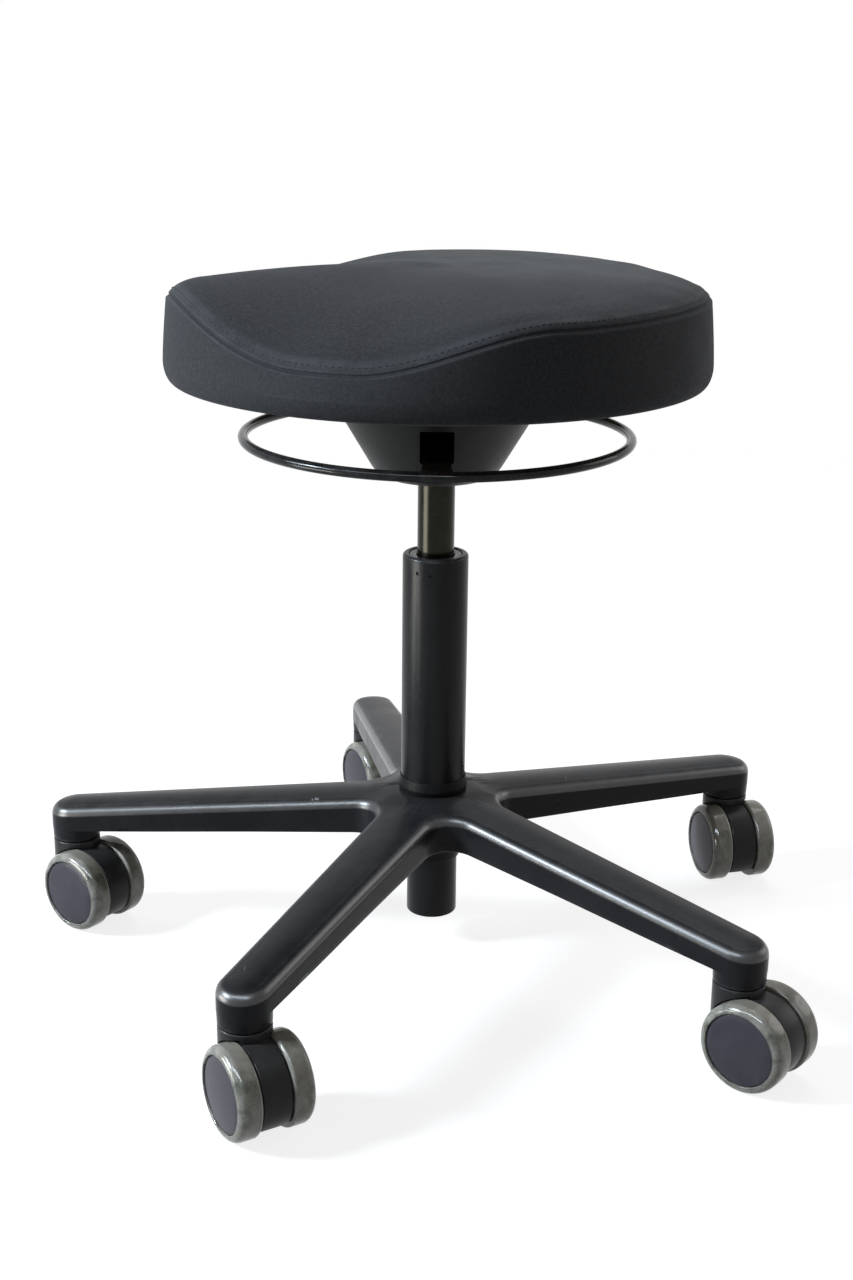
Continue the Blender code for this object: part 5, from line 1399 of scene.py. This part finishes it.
# twin castor wheels, turned about the axle
wheel = {
    "trail": 0.0187, "radius": 0.0325, "width": 0.0165, "innerFace": 0.0114, "tyreThick": 0.0060,
    "outerRound": 0.0058, "innerRound": 0.0022, "lipRound": 0.0009, "seatRound": 0.0004, "gap": 0.0003,
    "capCrown": 0.0018, "capInset": 0.0008, "capShare": 0.93, "capSteps": 9, "rimDrop": 0.0002,
    "rimRound": 0.0007, "discRound": 0.0006, "recessWidth": 0.004, "recessDepth": 0.0004,
    "axleBore": 0.0043, "axleEnd": 0.0223, "sides": 96, "discSharp": 45.0, "tyreSharp": 50.0,
    "discSteps": 4, "tyreSteps": 9,
}


def makeWheelMeshes():
    w = wheel
    inner, outer = w["innerFace"], w["innerFace"] + w["width"]
    seat = w["radius"] - w["tyreThick"]
    core, rim = seat - w["gap"], outer - w["capInset"]
    recess, recessFloor = w["axleBore"] + w["recessWidth"], inner + w["recessDepth"]
    disc = [Vector((core * share, rim + w["capCrown"] * (1 - share ** 2)))
            for share in np.linspace(0, w["capShare"], w["capSteps"])]
    disc += roundCorners([
        (core, rim - w["rimDrop"], w["rimRound"]), (core, inner, w["discRound"]), (recess, inner, 0),
        (recess, recessFloor, 0), (w["axleBore"], recessFloor, 0), (w["axleBore"], w["axleEnd"], 0),
        (0, w["axleEnd"], 0), (0, rim, 0)], w["discSteps"])[:-1]
    tyre = roundCorners([
        (w["radius"], outer, w["outerRound"]), (w["radius"], inner, w["innerRound"]),
        (seat, inner, w["seatRound"]), (seat, outer, w["lipRound"])], w["tyreSteps"])
    return (latheMesh("wheel_disc", disc, w["sides"], w["discSharp"]),
            latheMesh("wheel_tyre", tyre, w["sides"], w["tyreSharp"]))


# castor hood: a neck round the stem and a drum between the wheels
hood = {
    "width": 0.0212, "radius": 0.0305, "edge": 0.0014, "low": 0.012, "neckRadius": 0.0185, "neckTop": 0.0693,
    "neckDepth": 0.026, "neckRound": 0.0008, "wheelRoom": 0.0337, "stemBore": 0.0058, "stemLow": 0.0450,
    "stemOver": 0.005, "boreReach": 0.04, "boreSides": 40, "sides": 96,
}


def makeHoodMesh():
    h = hood
    centre = sideways((wheel["trail"], 0, wheel["radius"]))
    half = h["width"] / 2
    neck = rodProfile(h["neckRadius"], h["neckTop"] - h["neckDepth"], h["neckTop"], h["neckRound"])
    mesh = latheMesh("castor_hood", neck, h["sides"])
    drum = latheMesh("drum", rodProfile(h["radius"], -half, half, h["edge"]), h["sides"])
    mesh = carve(mesh, drum, "UNION", centre)
    under = latheMesh("under_drum", rodProfile(2 * wheel["radius"], -wheel["radius"], h["low"]), h["sides"])
    mesh = carve(mesh, under, "DIFFERENCE")
    for side in (-1, 1):
        span = sorted((side * half, side * (half + 2 * h["neckRadius"])))
        room = latheMesh("room", rodProfile(h["wheelRoom"], *span), h["sides"])
        mesh = carve(mesh, room, "DIFFERENCE", centre)
    axle = rodProfile(wheel["axleBore"], -h["boreReach"], h["boreReach"])
    mesh = carve(mesh, latheMesh("axle_bore", axle, h["boreSides"]), "DIFFERENCE", centre)
    stem = rodProfile(h["stemBore"], h["stemLow"], h["neckTop"] + h["stemOver"])
    return resettle(carve(mesh, latheMesh("stem_bore", stem, h["boreSides"]), "DIFFERENCE"))


def makeCastors():  # each at its stem, headed the way that its wheels trail
    discMesh, tyreMesh = makeWheelMeshes()
    hoodMesh = makeHoodMesh()
    joints = {joint["name"]: joint for joint in frame["joints"]}
    for index in range(1, star["legs"] + 1):
        name = f"castor_{index}"
        stem, hub = (Vector(joints[name + end]["pos_m"]) for end in ("_swivel", "_left_spin"))
        heading = math.atan2(hub.y - stem.y, hub.x - stem.x)
        place = Matrix.Translation((stem.x, stem.y, 0)) @ Matrix.Rotation(heading, 4, "Z")
        addPiece(name + "_hood", hoodMesh.copy(), "hoodPlastic", name,
                 [name + "_housing"], place)
        for side, turn in (("left", -90), ("right", 90)):
            axle = place @ Matrix.Translation((wheel["trail"], 0, wheel["radius"]))
            axle = axle @ Matrix.Rotation(math.radians(turn), 4, "X")
            body = f"{name}_{side}"
            addPiece(body + "_disc", discMesh.copy(), "wheelPlastic", body,
                     [body + "_wheel"], axle)
            addPiece(body + "_tread", tyreMesh.copy(), "tyre", body, [body + "_tyre"], axle)


makeCastors()
print("castors mounted")

# solids that stay as they are, mostly inside, with their finishes
seatScrews = 4
kept = {
    "zinc": ["bearing_washer_lower", "bearing_cage", "bearing_washer_upper", "retaining_clip", "release_pin",
             "lever_pivot_pin"] + [f"seat_screw_{k}" for k in range(1, seatScrews + 1)]
            + [f"castor_{k}_{part}" for k in range(1, star["legs"] + 1) for part in ("stem", "axle")],
    "gunMetal": ["piston_rod"], "bufferRubber": ["rubber_buffer"], "columnPaint": ["seat_plate"],
    "plywood": ["seat_board"],
}
for finish, names in kept.items():
    for name in names:
        slots = nodes[name].data.materials
        slots.clear()
        slots.append(finishes[finish])
print("kept solids finished:", sum(len(names) for names in kept.values()))

bpy.context.view_layer.update()
